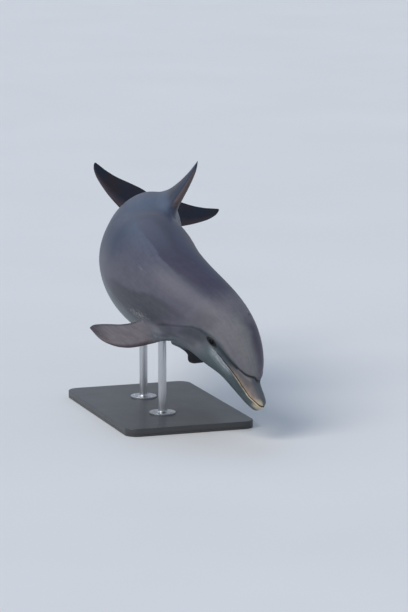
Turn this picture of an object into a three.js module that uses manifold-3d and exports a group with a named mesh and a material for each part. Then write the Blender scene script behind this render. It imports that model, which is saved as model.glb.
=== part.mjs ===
// Bottlenose dolphin, life size, caught in the arc of a leap and held by a plain display stand.
//
// Millimetres, +Z up, +X the way the animal travels, origin on the floor under the middle of the model.
// The animal is described along its spine: a station is a distance from the snout tip, and at each station
// the section has a back height, a belly depth and a half width. The spine is then bent into the pose.
import * as THREE from 'three';
import { mergeVertices } from 'three/addons/utils/BufferGeometryUtils.js';
import Module from 'manifold-3d';

const wasm = await Module();
wasm.setup();

// ---------------------------------------------------------------- driving dimensions

const LENGTH = 2500;            // snout tip to the notch of the flukes
const GAP = 0.4;                // clearance between neighbouring solids

// Outlines along the body: [station, value].
const BACK = [[0, -6], [6, 4], [30, 15], [70, 25], [100, 34], [120, 54], [150, 84], [200, 115], [270, 145],
  [340, 168], [450, 191], [600, 210], [800, 229], [1000, 239], [1100, 234], [1200, 218], [1290, 210],
  [1400, 216], [1600, 210], [1800, 154], [2200, 79], [2340, 50], [2440, 22], [2500, 3]];
const BELLY = [[0, -30], [6, -50], [30, -64], [70, -75], [120, -82], [200, -91], [340, -133], [450, -144],
  [540, -153], [620, -174], [700, -203], [800, -228], [1000, -238], [1200, -232], [1400, -207],
  [1600, -172], [1800, -135], [2200, -69], [2340, -44], [2440, -22], [2500, -3]];
const HALF_WIDTH = [[0, 12], [6, 27], [30, 38], [70, 43], [100, 50], [120, 61], [150, 79], [200, 105],
  [270, 129], [340, 142], [450, 158], [600, 184], [800, 206], [1000, 213], [1200, 198], [1400, 179],
  [1600, 158], [1800, 118], [2000, 74], [2200, 43], [2340, 30], [2440, 22], [2500, 6]];
const WIDEST = [[0, -20], [70, -24], [120, -16], [200, -4], [340, 4], [600, 2], [2500, 0]];
// Fullness of the section: 2 is an ellipse, less gives the keels of the tail stock.
const FULLNESS_ABOVE = [[0, 2.2], [100, 2.0], [1060, 2.0], [1250, 1.8], [1420, 1.95], [1900, 1.75],
  [2300, 1.6], [2500, 2]];
const FULLNESS_BELOW = [[0, 2.3], [300, 2.15], [430, 2.3], [560, 2.7], [680, 2.3], [800, 2.1],
  [1400, 2.05], [1900, 1.75], [2300, 1.6], [2500, 2]];

// The pose: the attitude of the chest, and the bends of the spine from head to tail, in degrees.
// Pitch lowers the part ahead of the bend, yaw turns it to the left, roll lowers its right side.
const CHEST = { station: 600, height: 560, heading: 26, pitch: 23, roll: -13 };
const BENDS = [
  { at: 400, reach: 220, pitch: 25, yaw: 12, roll: -6 },     // neck
  { at: 800, reach: 280, pitch: -2, yaw: 31, roll: 5 },      // chest
  { at: 1200, reach: 280, pitch: -2, yaw: 15, roll: 6 },     // loins
  { at: 1600, reach: 280, pitch: 14, yaw: 8, roll: -7 },    // hind trunk
  { at: 2000, reach: 280, pitch: 0, yaw: -1, roll: -4 },     // tail stock
  { at: 2300, reach: 180, pitch: -19, yaw: -1, roll: -4 },   // end of the tail stock
  { at: 2330, reach: 100, pitch: -40, yaw: 0, roll: 0 },     // flukes flicked up
];

// Lengths of the body, cut square to the spine: [node, first station, last station].
const HEAD_END = 460;
const LENGTHS = [['neck', HEAD_END, 640], ['chest', 640, 1000], ['trunk_middle', 1000, 1420],
  ['trunk_rear', 1420, 1780], ['tail_stock_front', 1780, 2120], ['tail_stock_rear', 2120, LENGTH]];

// The mouth: height of the lip line, and the corner where it ends.
const LIP_LINE = [[-60, -12], [0, -14], [30, -19], [70, -28], [110, -25], [160, -15], [220, -10], [300, -12]];
const MOUTH_CORNER = 300;
// The crease between beak and forehead runs back on each side: [distance from the midline, station].
const BEAK_CREASE = [[0, 104], [34, 118], [67, 143], [85, 166], [110, 186], [200, 200]];

const EYE = { station: 341, height: 3, radius: 17, proud: 3 };
const BLOWHOLE = { station: 350, radii: [10, 17, 7], proud: 1 };

// Fins: outline as [span, distance aft] and thickness as [span, thickness].
const DORSAL_FIN = {
  leading: [[-57, -34], [0, 28], [60, 94], [120, 155], [170, 215], [205, 272], [224, 316], [234, 352]],
  trailing: [[-57, 470], [0, 430], [60, 378], [120, 348], [170, 341], [205, 349], [224, 360], [234, 369]],
  thickness: [[-57, 104], [0, 78], [60, 55], [120, 42], [170, 30], [205, 20], [234, 8]],
  station: 1166, chord: 360, yaw: 2.5, lean: 5.5,
};
const FLIPPER = {
  leading: [[-80, -14], [0, 0], [51, -2], [102, -2], [153, 2], [204, 20], [250, 57], [285, 110], [300, 158]],
  trailing: [[-80, 172], [0, 160], [51, 147], [102, 144], [153, 150], [204, 168], [250, 183], [285, 189],
    [300, 184]],
  thickness: [[-80, 50], [0, 41], [102, 28], [212, 18], [300, 5]],
  station: 537, out: 0.87, height: -139,
};
const FLIPPER_ANGLES = {
  right: { sweep: 21, droop: 36, twist: 5 },
  left: { sweep: 6, droop: 20, twist: -38 },
};
const FLUKE = {
  leading: [[0, -34], [22, -25], [67, 7], [134, 45], [202, 85], [269, 136], [314, 180], [342, 224]],
  trailing: [[0, 160], [22, 185], [67, 202], [134, 209], [202, 214], [269, 228], [314, 244], [342, 254]],
  thickness: [[0, 50], [22, 46], [67, 36], [134, 27], [224, 18], [342, 4]],
  hinge: 2330, station: 2430, yaw: 1.2,
};

const STAND = {
  base: [1000, 620, 36], corner: 60, bevel: 4, centre: [-400, -20],
  rodRadius: 19, rodStations: [830, 1230], flangeRadius: 62, flangeHeight: 14,
};

// Fineness of the facets.
const AROUND = 32;              // points round a body section
const HEAD_RINGS = [0, 3, 12, 30, 60, 88, 102, 112, 124, 140, 165, 195, 230, 270, 310, 350, 400];
const RING_STEP = 60;
const FOIL_POINTS = 7;          // points along one face of a fin section
const FIN_RINGS = 9;

// ---------------------------------------------------------------- colours

const skinColour = (hex) => new THREE.MeshStandardMaterial({ color: hex, roughness: 0.35, metalness: 0 });
const COLOURS = {
  flank: skinColour(0x6d6b73),
  head: skinColour(0x6b6a70),
  beak: skinColour(0x8a7f74),
  fins: skinColour(0x4b4a52),
  flukes: skinColour(0x33353c),
  eye: new THREE.MeshStandardMaterial({ color: 0x15120f, roughness: 0.12, metalness: 0 }),
  base: new THREE.MeshStandardMaterial({ color: 0x3a3c3f, roughness: 0.55, metalness: 0 }),
  steel: new THREE.MeshStandardMaterial({ color: 0xa9acb0, roughness: 0.3, metalness: 1 }),
};

// ---------------------------------------------------------------- curves

// Monotone cubic through a short list of [x, y] points: it never overshoots them.
function curve(points) {
  const x = points.map((p) => p[0]);
  const y = points.map((p) => p[1]);
  const last = x.length - 1;
  const h = x.slice(1).map((v, i) => v - x[i]);
  const d = h.map((v, i) => (y[i + 1] - y[i]) / v);
  const endSlope = (h0, h1, d0, d1) => {
    const slope = ((2 * h0 + h1) * d0 - h0 * d1) / (h0 + h1);
    if (slope * d0 <= 0) return 0;
    return d0 * d1 <= 0 && Math.abs(slope) > Math.abs(3 * d0) ? 3 * d0 : slope;
  };
  const slopes = x.map((_, i) => {
    if (i === 0) return endSlope(h[0], h[1], d[0], d[1]);
    if (i === last) return endSlope(h[last - 1], h[last - 2], d[last - 1], d[last - 2]);
    if (d[i - 1] * d[i] <= 0) return 0;
    const w1 = 2 * h[i] + h[i - 1];
    const w2 = h[i] + 2 * h[i - 1];
    return (w1 + w2) / (w1 / d[i - 1] + w2 / d[i]);
  });
  return (at) => {
    const t = Math.min(Math.max(at, x[0]), x[last]);
    let i = 0;
    while (i < last - 1 && t > x[i + 1]) i += 1;
    const u = (t - x[i]) / h[i];
    const a = y[i] * (1 + 2 * u) * (1 - u) ** 2 + slopes[i] * h[i] * u * (1 - u) ** 2;
    return a + y[i + 1] * u * u * (3 - 2 * u) + slopes[i + 1] * h[i] * u * u * (u - 1);
  };
}

const back = curve(BACK);
const belly = curve(BELLY);
const halfWidth = curve(HALF_WIDTH);
const widest = curve(WIDEST);
const fullnessAbove = curve(FULLNESS_ABOVE);
const fullnessBelow = curve(FULLNESS_BELOW);
const lipLine = curve(LIP_LINE);
const beakCrease = curve(BEAK_CREASE);

// ---------------------------------------------------------------- the bent spine

const SPINE_STEP = 10;
const SPINE = bendSpine();

// Turn per millimetre at a station, about the animal's own forward, left and up axes.
function turnRate(station) {
  const rate = new THREE.Vector3();
  for (const bend of BENDS) {
    const x = (station - bend.at) / bend.reach;
    if (Math.abs(x) >= 1) continue;
    const share = (1 + Math.cos(Math.PI * x)) / (2 * bend.reach);
    rate.add(new THREE.Vector3(bend.roll, bend.pitch, bend.yaw).multiplyScalar(share));
  }
  return rate.multiplyScalar(THREE.MathUtils.DEG2RAD);
}

// Frames along the spine, every SPINE_STEP from the snout tip: x forward, y to the left, z to the back.
function bendSpine() {
  const rad = THREE.MathUtils.degToRad;
  const attitude = new THREE.Euler(rad(CHEST.roll), rad(CHEST.pitch), rad(CHEST.heading), 'ZYX');
  const start = CHEST.station / SPINE_STEP;
  const frames = [];
  frames[start] = {
    centre: new THREE.Vector3(0, 0, CHEST.height),
    turn: new THREE.Quaternion().setFromEuler(attitude),
  };
  const follow = (from, way) => {
    const here = frames[from];
    const rate = turnRate((from + way / 2) * SPINE_STEP);
    const angle = -way * rate.length() * SPINE_STEP;
    const axis = rate.length() > 0 ? rate.normalize() : new THREE.Vector3(1, 0, 0);
    const turn = here.turn.clone().multiply(new THREE.Quaternion().setFromAxisAngle(axis, angle));
    const ahead = new THREE.Vector3(1, 0, 0).applyQuaternion(here.turn);
    ahead.add(new THREE.Vector3(1, 0, 0).applyQuaternion(turn));
    frames[from + way] = { centre: here.centre.clone().addScaledVector(ahead, (-way * SPINE_STEP) / 2), turn };
  };
  for (let i = start; i > 0; i -= 1) follow(i, -1);
  for (let i = start; i < LENGTH / SPINE_STEP; i += 1) follow(i, 1);
  return frames;
}

function frameAt(station) {
  const f = Math.min(Math.max(station / SPINE_STEP, 0), SPINE.length - 1);
  const i = Math.min(Math.floor(f), SPINE.length - 2);
  const centre = SPINE[i].centre.clone().lerp(SPINE[i + 1].centre, f - i);
  const turn = SPINE[i].turn.clone().slerp(SPINE[i + 1].turn, f - i);
  const axis = (x, y, z) => new THREE.Vector3(x, y, z).applyQuaternion(turn);
  const frame = { centre, turn, forward: axis(1, 0, 0), left: axis(0, 1, 0), up: axis(0, 0, 1) };
  centre.addScaledVector(frame.forward, f * SPINE_STEP - station);    // straight beyond the ends
  return frame;
}

// A point of the animal given as station, distance to the left and height above the spine.
function place(station, left, height) {
  const frame = frameAt(station);
  return frame.centre.clone().addScaledVector(frame.left, left).addScaledVector(frame.up, height);
}

// ---------------------------------------------------------------- closed lofts

// Closed solid through rings of equal point counts, with a fan over each end.
function loft(rings) {
  const count = rings[0].length;
  const points = rings.flat();
  const middle = (ring) => ring.reduce((sum, p) => sum.add(p), new THREE.Vector3()).divideScalar(count);
  points.push(middle(rings[0]), middle(rings[rings.length - 1]));
  const index = [];
  const firstOfLast = (rings.length - 1) * count;
  for (let j = 0; j < count; j += 1) {
    const k = (j + 1) % count;
    for (let i = 0; i < rings.length - 1; i += 1) {
      const a = i * count;
      index.push(a + j, a + k, a + count + k, a + j, a + count + k, a + count + j);
    }
    index.push(points.length - 2, k, j, points.length - 1, firstOfLast + j, firstOfLast + k);
  }
  if (signedVolume(points, index) < 0) index.reverse();
  const geometry = new THREE.BufferGeometry().setFromPoints(points);
  geometry.setIndex(index);
  return geometry;
}

function signedVolume(points, index) {
  let volume = 0;
  for (let i = 0; i < index.length; i += 3) {
    const [a, b, c] = [points[index[i]], points[index[i + 1]], points[index[i + 2]]];
    volume += a.dot(b.clone().cross(c)) / 6;
  }
  return volume;
}

// ---------------------------------------------------------------- booleans

function solid(geometry) {
  geometry.deleteAttribute('normal');
  geometry.deleteAttribute('uv');
  const merged = mergeVertices(geometry, 1e-4);
  const vertProperties = new Float32Array(merged.getAttribute('position').array);
  const triVerts = new Uint32Array(merged.getIndex().array);
  return new wasm.Manifold(new wasm.Mesh({ numProp: 3, vertProperties, triVerts }));
}

function shape(manifold) {
  const mesh = manifold.getMesh();
  const geometry = new THREE.BufferGeometry();
  geometry.setAttribute('position', new THREE.BufferAttribute(mesh.vertProperties, 3));
  geometry.setIndex(new THREE.BufferAttribute(mesh.triVerts, 1));
  return geometry;
}

// ---------------------------------------------------------------- the body

// One section of the body, from the back round the left side, grown outwards by a clearance.
function section(station, grow) {
  const frame = frameAt(station);
  const ring = [];
  for (let j = 0; j < AROUND; j += 1) {
    const angle = (2 * Math.PI * j) / AROUND;
    const above = Math.cos(angle) > 0;
    const power = 2 / (above ? fullnessAbove(station) : fullnessBelow(station));
    const reach = above ? back(station) - widest(station) : widest(station) - belly(station);
    const round = (v) => Math.sign(v) * Math.abs(v) ** power;
    const left = round(Math.sin(angle)) * (halfWidth(station) + grow);
    const height = widest(station) + round(Math.cos(angle)) * (reach + grow);
    ring.push(frame.centre.clone().addScaledVector(frame.left, left).addScaledVector(frame.up, height));
  }
  return ring;
}

// The stations of the rings, shared by every length so that neighbours have the same facets.
const RINGS = [...HEAD_RINGS, ...LENGTHS.flatMap(([, from, to]) => {
  const steps = Math.ceil((to - from) / RING_STEP);
  return Array.from({ length: steps }, (_, i) => from + ((to - from) * i) / steps);
})];

// Length of the body between two stations.
function bodyLength(from, to, grow = 0) {
  const stations = [from, ...RINGS.filter((station) => station > from + 1 && station < to - 1), to];
  return loft(stations.map((station) => section(station, grow)));
}

const wholeBody = solid(bodyLength(0, LENGTH, GAP));

// ---------------------------------------------------------------- the head

// Everything below the lip line and ahead of the corner of the mouth.
function jawRegion(grow) {
  const rings = [];
  for (let station = -60; station <= MOUTH_CORNER; station += 20) {
    const at = station + (station === MOUTH_CORNER ? grow : 0);
    const top = lipLine(station) + grow;
    rings.push([place(at, 200, top), place(at, 200, -260), place(at, -200, -260), place(at, -200, top)]);
  }
  return solid(loft(rings));
}

// Everything ahead of the crease between beak and forehead.
function beakRegion(grow) {
  const rings = [];
  for (let left = -160; left <= 160; left += 20) {
    const rear = beakCrease(Math.abs(left)) + grow;
    const corner = (station, height) => place(station, left, height);
    rings.push([corner(rear, 200), corner(-60, 200), corner(-60, -260), corner(rear, -260)]);
  }
  return solid(loft(rings));
}

// Ellipsoid set into the skin at a station: along the spine, across and out of the surface.
function ball(centre, turn, radii, grow) {
  const geometry = new THREE.SphereGeometry(1, 14, 10);
  const scale = new THREE.Vector3(...radii).addScalar(grow);
  geometry.applyMatrix4(new THREE.Matrix4().compose(centre, turn, scale));
  return geometry;
}

function eyeCentre(side) {
  const { station, height, radius, proud } = EYE;
  const out = halfWidth(station) * Math.sqrt(1 - ((height - widest(station)) / (widest(station) - belly(station))) ** 2);
  return place(station, side * (out + proud - radius), height);
}

const blowholeCentre = place(BLOWHOLE.station, 0, back(BLOWHOLE.station) + BLOWHOLE.proud - BLOWHOLE.radii[2]);

function headPieces() {
  const head = solid(bodyLength(0, HEAD_END - GAP / 2));
  const balls = [-1, 1].map((side) => ball(eyeCentre(side), frameAt(EYE.station).turn, [1, 1, 1], EYE.radius - 1 + GAP));
  balls.push(ball(blowholeCentre, frameAt(BLOWHOLE.station).turn, BLOWHOLE.radii, GAP));
  const sockets = balls.map(solid).reduce((sum, socket) => sum.add(socket));
  return {
    beak_upper: head.intersect(beakRegion(0)).subtract(jawRegion(GAP)),
    beak_lower: head.intersect(jawRegion(0)),
    head: head.subtract(beakRegion(GAP)).subtract(jawRegion(GAP)).subtract(sockets),
  };
}

// ---------------------------------------------------------------- fins

// Fin from its outline: sections of an aerofoil, placed by an origin and the aft, span and normal directions.
function fin({ leading, trailing, thickness }, from, origin, aft, span, normal) {
  const lead = curve(leading);
  const trail = curve(trailing);
  const thick = curve(thickness);
  const tip = leading[leading.length - 1][0];
  const rings = [];
  for (let i = 0; i < FIN_RINGS; i += 1) {
    const reach = from + (tip - from) * Math.sin((Math.PI / 2) * (i / (FIN_RINGS - 1)));
    const foil = (u) => (2.969 * Math.sqrt(u) - 1.26 * u - 3.516 * u ** 2 + 2.843 * u ** 3 - 1.036 * u ** 4) / 2;
    const point = (u, face) => {
      const along = lead(reach) + (trail(reach) - lead(reach)) * u;
      const half = Math.max(foil(u) * thick(reach), 0);
      return origin.clone().addScaledVector(aft, along).addScaledVector(span, reach)
        .addScaledVector(normal, face * half);
    };
    const upper = [];
    const lower = [];
    for (let k = 0; k < FOIL_POINTS; k += 1) {
      const u = (1 - Math.cos((Math.PI * k) / (FOIL_POINTS - 1))) / 2;
      upper.push(point(u, 1));
      if (k > 0 && k < FOIL_POINTS - 1) lower.unshift(point(u, -1));
    }
    rings.push([...upper, ...lower]);
  }
  return solid(loft(rings));
}

// The frame's forward and left directions, turned to the left about its up direction.
function yawed(frame, degrees) {
  const angle = THREE.MathUtils.degToRad(degrees);
  const ahead = frame.forward.clone().multiplyScalar(Math.cos(angle)).addScaledVector(frame.left, Math.sin(angle));
  const aside = frame.left.clone().multiplyScalar(Math.cos(angle)).addScaledVector(frame.forward, -Math.sin(angle));
  return [ahead, aside];
}

function dorsalFin() {
  const middle = DORSAL_FIN.station + DORSAL_FIN.chord / 2;
  const lean = THREE.MathUtils.degToRad(DORSAL_FIN.lean);
  const frame = frameAt(middle);
  const [ahead, aside] = yawed(frame, DORSAL_FIN.yaw);
  const origin = frame.centre.clone().addScaledVector(frame.forward, middle - DORSAL_FIN.station)
    .addScaledVector(frame.up, back(middle));
  const span = frame.up.clone().multiplyScalar(Math.cos(lean)).addScaledVector(aside, Math.sin(lean));
  const normal = aside.multiplyScalar(Math.cos(lean)).addScaledVector(frame.up, -Math.sin(lean));
  return fin(DORSAL_FIN, DORSAL_FIN.leading[0][0], origin, ahead.negate(), span, normal).subtract(wholeBody);
}

// side is 1 for the left flipper and -1 for the right one.
function flipper(side, { sweep, droop, twist }) {
  const frame = frameAt(FLIPPER.station);
  const [back0, down, turn] = [sweep, droop, twist].map(THREE.MathUtils.degToRad);
  const mix = (a, wa, b, wb) => a.clone().multiplyScalar(wa).addScaledVector(b, wb);
  const outward = frame.left.clone().multiplyScalar(side);
  const origin = frame.centre.clone().addScaledVector(outward, halfWidth(FLIPPER.station) * FLIPPER.out)
    .addScaledVector(frame.up, FLIPPER.height);
  const drooped = mix(outward, Math.cos(down), frame.up, -Math.sin(down));
  const face = mix(frame.up, Math.cos(down), outward, Math.sin(down));
  const span = mix(drooped, Math.cos(back0), frame.forward, -Math.sin(back0));
  const chord = mix(frame.forward, -Math.cos(back0), drooped, -Math.sin(back0));
  const aft = mix(chord, Math.cos(turn), face, Math.sin(turn));
  const normal = span.clone().cross(aft);
  return fin(FLIPPER, FLIPPER.leading[0][0], origin, aft, span, normal).subtract(wholeBody);
}

function fluke(side) {
  const frame = frameAt(FLUKE.station);
  const [ahead, aside] = yawed(frame, FLUKE.yaw);
  const origin = frame.centre.clone().addScaledVector(frame.forward, FLUKE.station - FLUKE.hinge);
  return fin(FLUKE, GAP / 2, origin, ahead.negate(), aside.multiplyScalar(side), frame.up).subtract(wholeBody);
}

// ---------------------------------------------------------------- the stand

function baseShape() {
  const [x, y] = STAND.base.map((v) => v / 2 - STAND.bevel);
  const r = STAND.corner;
  const outline = new THREE.Shape();
  outline.moveTo(-x + r, -y).lineTo(x - r, -y).absarc(x - r, -y + r, r, -Math.PI / 2, 0);
  outline.lineTo(x, y - r).absarc(x - r, y - r, r, 0, Math.PI / 2);
  outline.lineTo(-x + r, y).absarc(-x + r, y - r, r, Math.PI / 2, Math.PI);
  outline.lineTo(-x, -y + r).absarc(-x + r, -y + r, r, Math.PI, 1.5 * Math.PI);
  const depth = STAND.base[2] - STAND.bevel;
  const settings = { depth, curveSegments: 6, bevelThickness: STAND.bevel, bevelSize: STAND.bevel, bevelSegments: 2 };
  const plate = solid(new THREE.ExtrudeGeometry(outline, settings));
  const below = solid(new THREE.BoxGeometry(2 * STAND.base[0], 2 * STAND.base[1], 100).translate(0, 0, -50));
  return shape(plate.subtract(below));
}

// Round post turned about its own axis, from the base up to a height inside the body.
function rodShape(x, y, top) {
  const r = STAND.rodRadius;
  const foot = STAND.base[2] + STAND.flangeHeight + GAP;
  const outline = [[0, foot], [r, foot], [r, (foot + top) / 2], [r, top], [0, top]];
  const post = new THREE.LatheGeometry(outline.map(([a, b]) => new THREE.Vector2(a, b)), 24);
  post.rotateX(Math.PI / 2).translate(x, y, 0);
  return shape(solid(post).subtract(wholeBody));
}

function flangeShape() {
  const [r, h, neck] = [STAND.flangeRadius, STAND.flangeHeight, STAND.rodRadius + 9];
  const outline = [[0, 0], [r - 1, 0], [r, 1], [r, h / 2 - 1], [r - 1, h / 2], [neck, h / 2], [neck - 2, h], [0, h]];
  return new THREE.LatheGeometry(outline.map(([a, b]) => new THREE.Vector2(a, b)), 24).rotateX(Math.PI / 2);
}

// ---------------------------------------------------------------- the model

const model = new THREE.Group();

function add(name, geometry, material, position = [0, 0, 0]) {
  const mesh = new THREE.Mesh(geometry, material);
  mesh.name = name;
  mesh.position.set(...position);
  model.add(mesh);
}

const pieces = headPieces();
add('head', shape(pieces.head), COLOURS.head);
add('beak_upper', shape(pieces.beak_upper), COLOURS.beak);
add('beak_lower', shape(pieces.beak_lower), COLOURS.beak);
for (const [name, from, to] of LENGTHS) {
  const end = to === LENGTH ? to : to - GAP / 2;
  add(name, bodyLength(from + GAP / 2, end), COLOURS.flank);
}
add('dorsal_fin', shape(dorsalFin()), COLOURS.fins);
for (const [name, side] of [['left', 1], ['right', -1]]) {
  add(`flipper_${name}`, shape(flipper(side, FLIPPER_ANGLES[name])), COLOURS.fins);
  add(`fluke_${name}`, shape(fluke(side)), COLOURS.flukes);
  add(`eye_${name}`, ball(eyeCentre(side), frameAt(EYE.station).turn, [1, 1, 1], EYE.radius - 1), COLOURS.eye);
}
add('blowhole', ball(blowholeCentre, frameAt(BLOWHOLE.station).turn, BLOWHOLE.radii, 0), COLOURS.head);

add('stand_base', baseShape(), COLOURS.base, [...STAND.centre, 0]);
for (const [i, name] of ['front', 'rear'].entries()) {
  const { centre } = frameAt(STAND.rodStations[i]);
  add(`stand_rod_${name}`, rodShape(centre.x, centre.y, centre.z), COLOURS.steel);
  add(`stand_flange_${name}`, flangeShape(), COLOURS.steel, [centre.x, centre.y, STAND.base[2] + GAP]);
}

// Bring the middle of the whole model over the origin.
const middle = new THREE.Box3().setFromObject(model).getCenter(new THREE.Vector3());
model.position.set(-middle.x, -middle.y, 0);
model.updateMatrixWorld(true);

export default model;
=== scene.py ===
"""Looks of the leaping bottlenose dolphin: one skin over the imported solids, its eyes and its display stand.

Metres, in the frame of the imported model. The skin is worked out from the same outlines and bends as the
solids: a station is a distance from the snout tip along the spine, and an angle goes round the section from
the middle of the back (0) over the left side (90 degrees) to the belly (180), with the right side negative.
"""

import math

import bmesh
import bpy
import numpy as np
from mathutils import Matrix, Vector
from mathutils.bvhtree import BVHTree
from mathutils.kdtree import KDTree


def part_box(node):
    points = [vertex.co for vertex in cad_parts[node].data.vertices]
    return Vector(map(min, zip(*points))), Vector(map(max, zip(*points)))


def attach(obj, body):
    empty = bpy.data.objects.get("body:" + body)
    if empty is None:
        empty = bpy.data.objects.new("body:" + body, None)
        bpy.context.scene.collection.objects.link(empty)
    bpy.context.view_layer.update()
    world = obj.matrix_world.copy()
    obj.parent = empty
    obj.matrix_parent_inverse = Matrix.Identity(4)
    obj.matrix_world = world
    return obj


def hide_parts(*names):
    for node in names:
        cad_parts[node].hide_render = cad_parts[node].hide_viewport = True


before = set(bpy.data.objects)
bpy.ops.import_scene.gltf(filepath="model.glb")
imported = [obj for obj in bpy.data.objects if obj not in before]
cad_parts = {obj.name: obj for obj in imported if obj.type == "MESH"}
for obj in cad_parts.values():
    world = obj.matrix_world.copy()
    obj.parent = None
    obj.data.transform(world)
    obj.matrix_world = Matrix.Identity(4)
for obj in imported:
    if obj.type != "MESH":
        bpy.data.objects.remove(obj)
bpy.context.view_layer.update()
MM = 0.001

# ---- the animal's outlines, as in the solids

LENGTH = 2.5
# Station and height above the spine, half width, or fullness of the section (2 is an ellipse); millimetres.
BACK = [(0, -6), (6, 4), (30, 15), (70, 25), (100, 34), (120, 54), (150, 84), (200, 115), (270, 145),
        (340, 168), (450, 191), (600, 210), (800, 229), (1000, 239), (1100, 234), (1200, 218), (1290, 210),
        (1400, 216), (1600, 210), (1800, 154), (2200, 79), (2340, 50), (2440, 22), (2500, 3)]
BELLY = [(0, -30), (6, -50), (30, -64), (70, -75), (120, -82), (200, -91), (340, -133), (450, -144),
         (540, -153), (620, -174), (700, -203), (800, -228), (1000, -238), (1200, -232), (1400, -207),
         (1600, -172), (1800, -135), (2200, -69), (2340, -44), (2440, -22), (2500, -3)]
HALF_WIDTH = [(0, 12), (6, 27), (30, 38), (70, 43), (100, 50), (120, 61), (150, 79), (200, 105), (270, 129),
              (340, 142), (450, 158), (600, 184), (800, 206), (1000, 213), (1200, 198), (1400, 179),
              (1600, 158), (1800, 118), (2000, 74), (2200, 43), (2340, 30), (2440, 22), (2500, 6)]
WIDEST = [(0, -20), (70, -24), (120, -16), (200, -4), (340, 4), (600, 2), (2500, 0)]
FULLNESS_ABOVE = [(0, 2.2), (100, 2.0), (1060, 2.0), (1250, 1.8), (1420, 1.95), (1900, 1.75), (2300, 1.6),
                  (2500, 2)]
FULLNESS_BELOW = [(0, 2.3), (300, 2.15), (430, 2.3), (560, 2.7), (680, 2.3), (800, 2.1), (1400, 2.05),
                  (1900, 1.75), (2300, 1.6), (2500, 2)]
LIP_LINE = [(-60, -12), (0, -14), (30, -19), (70, -28), (110, -25), (160, -15), (220, -10), (300, -12)]
MOUTH_CORNER = 0.300
EYE = {"station": 0.341, "height": 0.003, "radius": 0.017, "proud": 0.003}

CHEST = {"station": 0.6, "height": 0.56, "heading": 26, "pitch": 23, "roll": -13}
BENDS = [  # station, reach, pitch, yaw, roll
    (0.40, 0.22, 25, 12, -6),
    (0.80, 0.28, -2, 31, 5),
    (1.20, 0.28, -2, 15, 6),
    (1.60, 0.28, 14, 8, -7),
    (2.00, 0.28, 0, -1, -4),
    (2.30, 0.18, -19, -1, -4),
    (2.33, 0.10, -40, 0, 0),
]

# Fins: reach out from the root, then distance aft or thickness, in millimetres.
DORSAL_FIN = {
    "leading": [(-57, -34), (0, 28), (60, 94), (120, 155), (170, 215), (205, 272), (224, 316), (234, 352)],
    "trailing": [(-57, 470), (0, 430), (60, 378), (120, 348), (170, 341), (205, 349), (224, 360),
                 (234, 369)],
    "thickness": [(-57, 104), (0, 78), (60, 55), (120, 42), (170, 30), (205, 20), (234, 8)],
    "station": 1.166, "chord": 0.360, "yaw": 2.5, "lean": 5.5,
}
FLIPPER = {
    "leading": [(-80, -14), (0, 0), (51, -2), (102, -2), (153, 2), (204, 20), (250, 57), (285, 110),
                (300, 158)],
    "trailing": [(-80, 172), (0, 160), (51, 147), (102, 144), (153, 150), (204, 168), (250, 183),
                 (285, 189), (300, 184)],
    "thickness": [(-80, 50), (0, 41), (102, 28), (212, 18), (300, 5)],
    "station": 0.537, "out": 0.87, "height": -0.139,
}
FLIPPER_ANGLES = {-1: (21, 36, 5), 1: (6, 20, -38)}     # right and left: sweep, droop, twist
FLUKE = {
    "leading": [(0, -34), (22, -25), (67, 7), (134, 45), (202, 85), (269, 136), (314, 180), (342, 224)],
    "trailing": [(0, 160), (22, 185), (67, 202), (134, 209), (202, 214), (269, 228), (314, 244), (342, 254)],
    "thickness": [(0, 50), (22, 46), (67, 36), (134, 27), (224, 18), (342, 4)],
    "hinge": 2.330, "station": 2.430, "yaw": 1.2,
}
FLESH_NODES = ["head", "beak_upper", "beak_lower", "blowhole", "neck", "chest", "trunk_middle", "trunk_rear",
               "tail_stock_front", "tail_stock_rear", "dorsal_fin", "flipper_left", "flipper_right",
               "fluke_left", "fluke_right"]


# ---- curves

def curve(points, unit=MM):
    """Monotone cubic through a short list of points; x in millimetres, y times unit. Works on arrays."""
    x, y = np.array(points, float).T
    x, y = x * MM, y * unit
    h = np.diff(x)
    d = np.diff(y) / h
    slopes = np.zeros(len(x))
    for i in range(1, len(x) - 1):
        if d[i - 1] * d[i] > 0:
            w1 = 2 * h[i] + h[i - 1]
            w2 = h[i] + 2 * h[i - 1]
            slopes[i] = (w1 + w2) / (w1 / d[i - 1] + w2 / d[i])

    def end_slope(h0, h1, d0, d1):
        slope = ((2 * h0 + h1) * d0 - h0 * d1) / (h0 + h1)
        if slope * d0 <= 0:
            return 0.0
        return 3 * d0 if d0 * d1 <= 0 and abs(slope) > abs(3 * d0) else slope

    slopes[0] = end_slope(h[0], h[1], d[0], d[1])
    slopes[-1] = end_slope(h[-1], h[-2], d[-1], d[-2])

    def value(at):
        t = np.clip(at, x[0], x[-1])
        i = np.clip(np.searchsorted(x, t, side="right") - 1, 0, len(x) - 2)
        u = (t - x[i]) / h[i]
        start = y[i] * (1 + 2 * u) * (1 - u) ** 2 + slopes[i] * h[i] * u * (1 - u) ** 2
        return start + y[i + 1] * u * u * (3 - 2 * u) + slopes[i + 1] * h[i] * u * u * (u - 1)

    return value


def smooth_step(x, low, high):
    t = np.clip((x - low) / (high - low), 0, 1)
    return t * t * (3 - 2 * t)


def fade(x, low, high):
    return 1 - smooth_step(x, low, high)


def bump(x, width):
    return np.exp(-((x / width) ** 2))


back, belly, half_width, widest = curve(BACK), curve(BELLY), curve(HALF_WIDTH), curve(WIDEST)
fullness_above, fullness_below = curve(FULLNESS_ABOVE, 1), curve(FULLNESS_BELOW, 1)
lip_line = curve(LIP_LINE)

# ---- the bent spine

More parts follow.
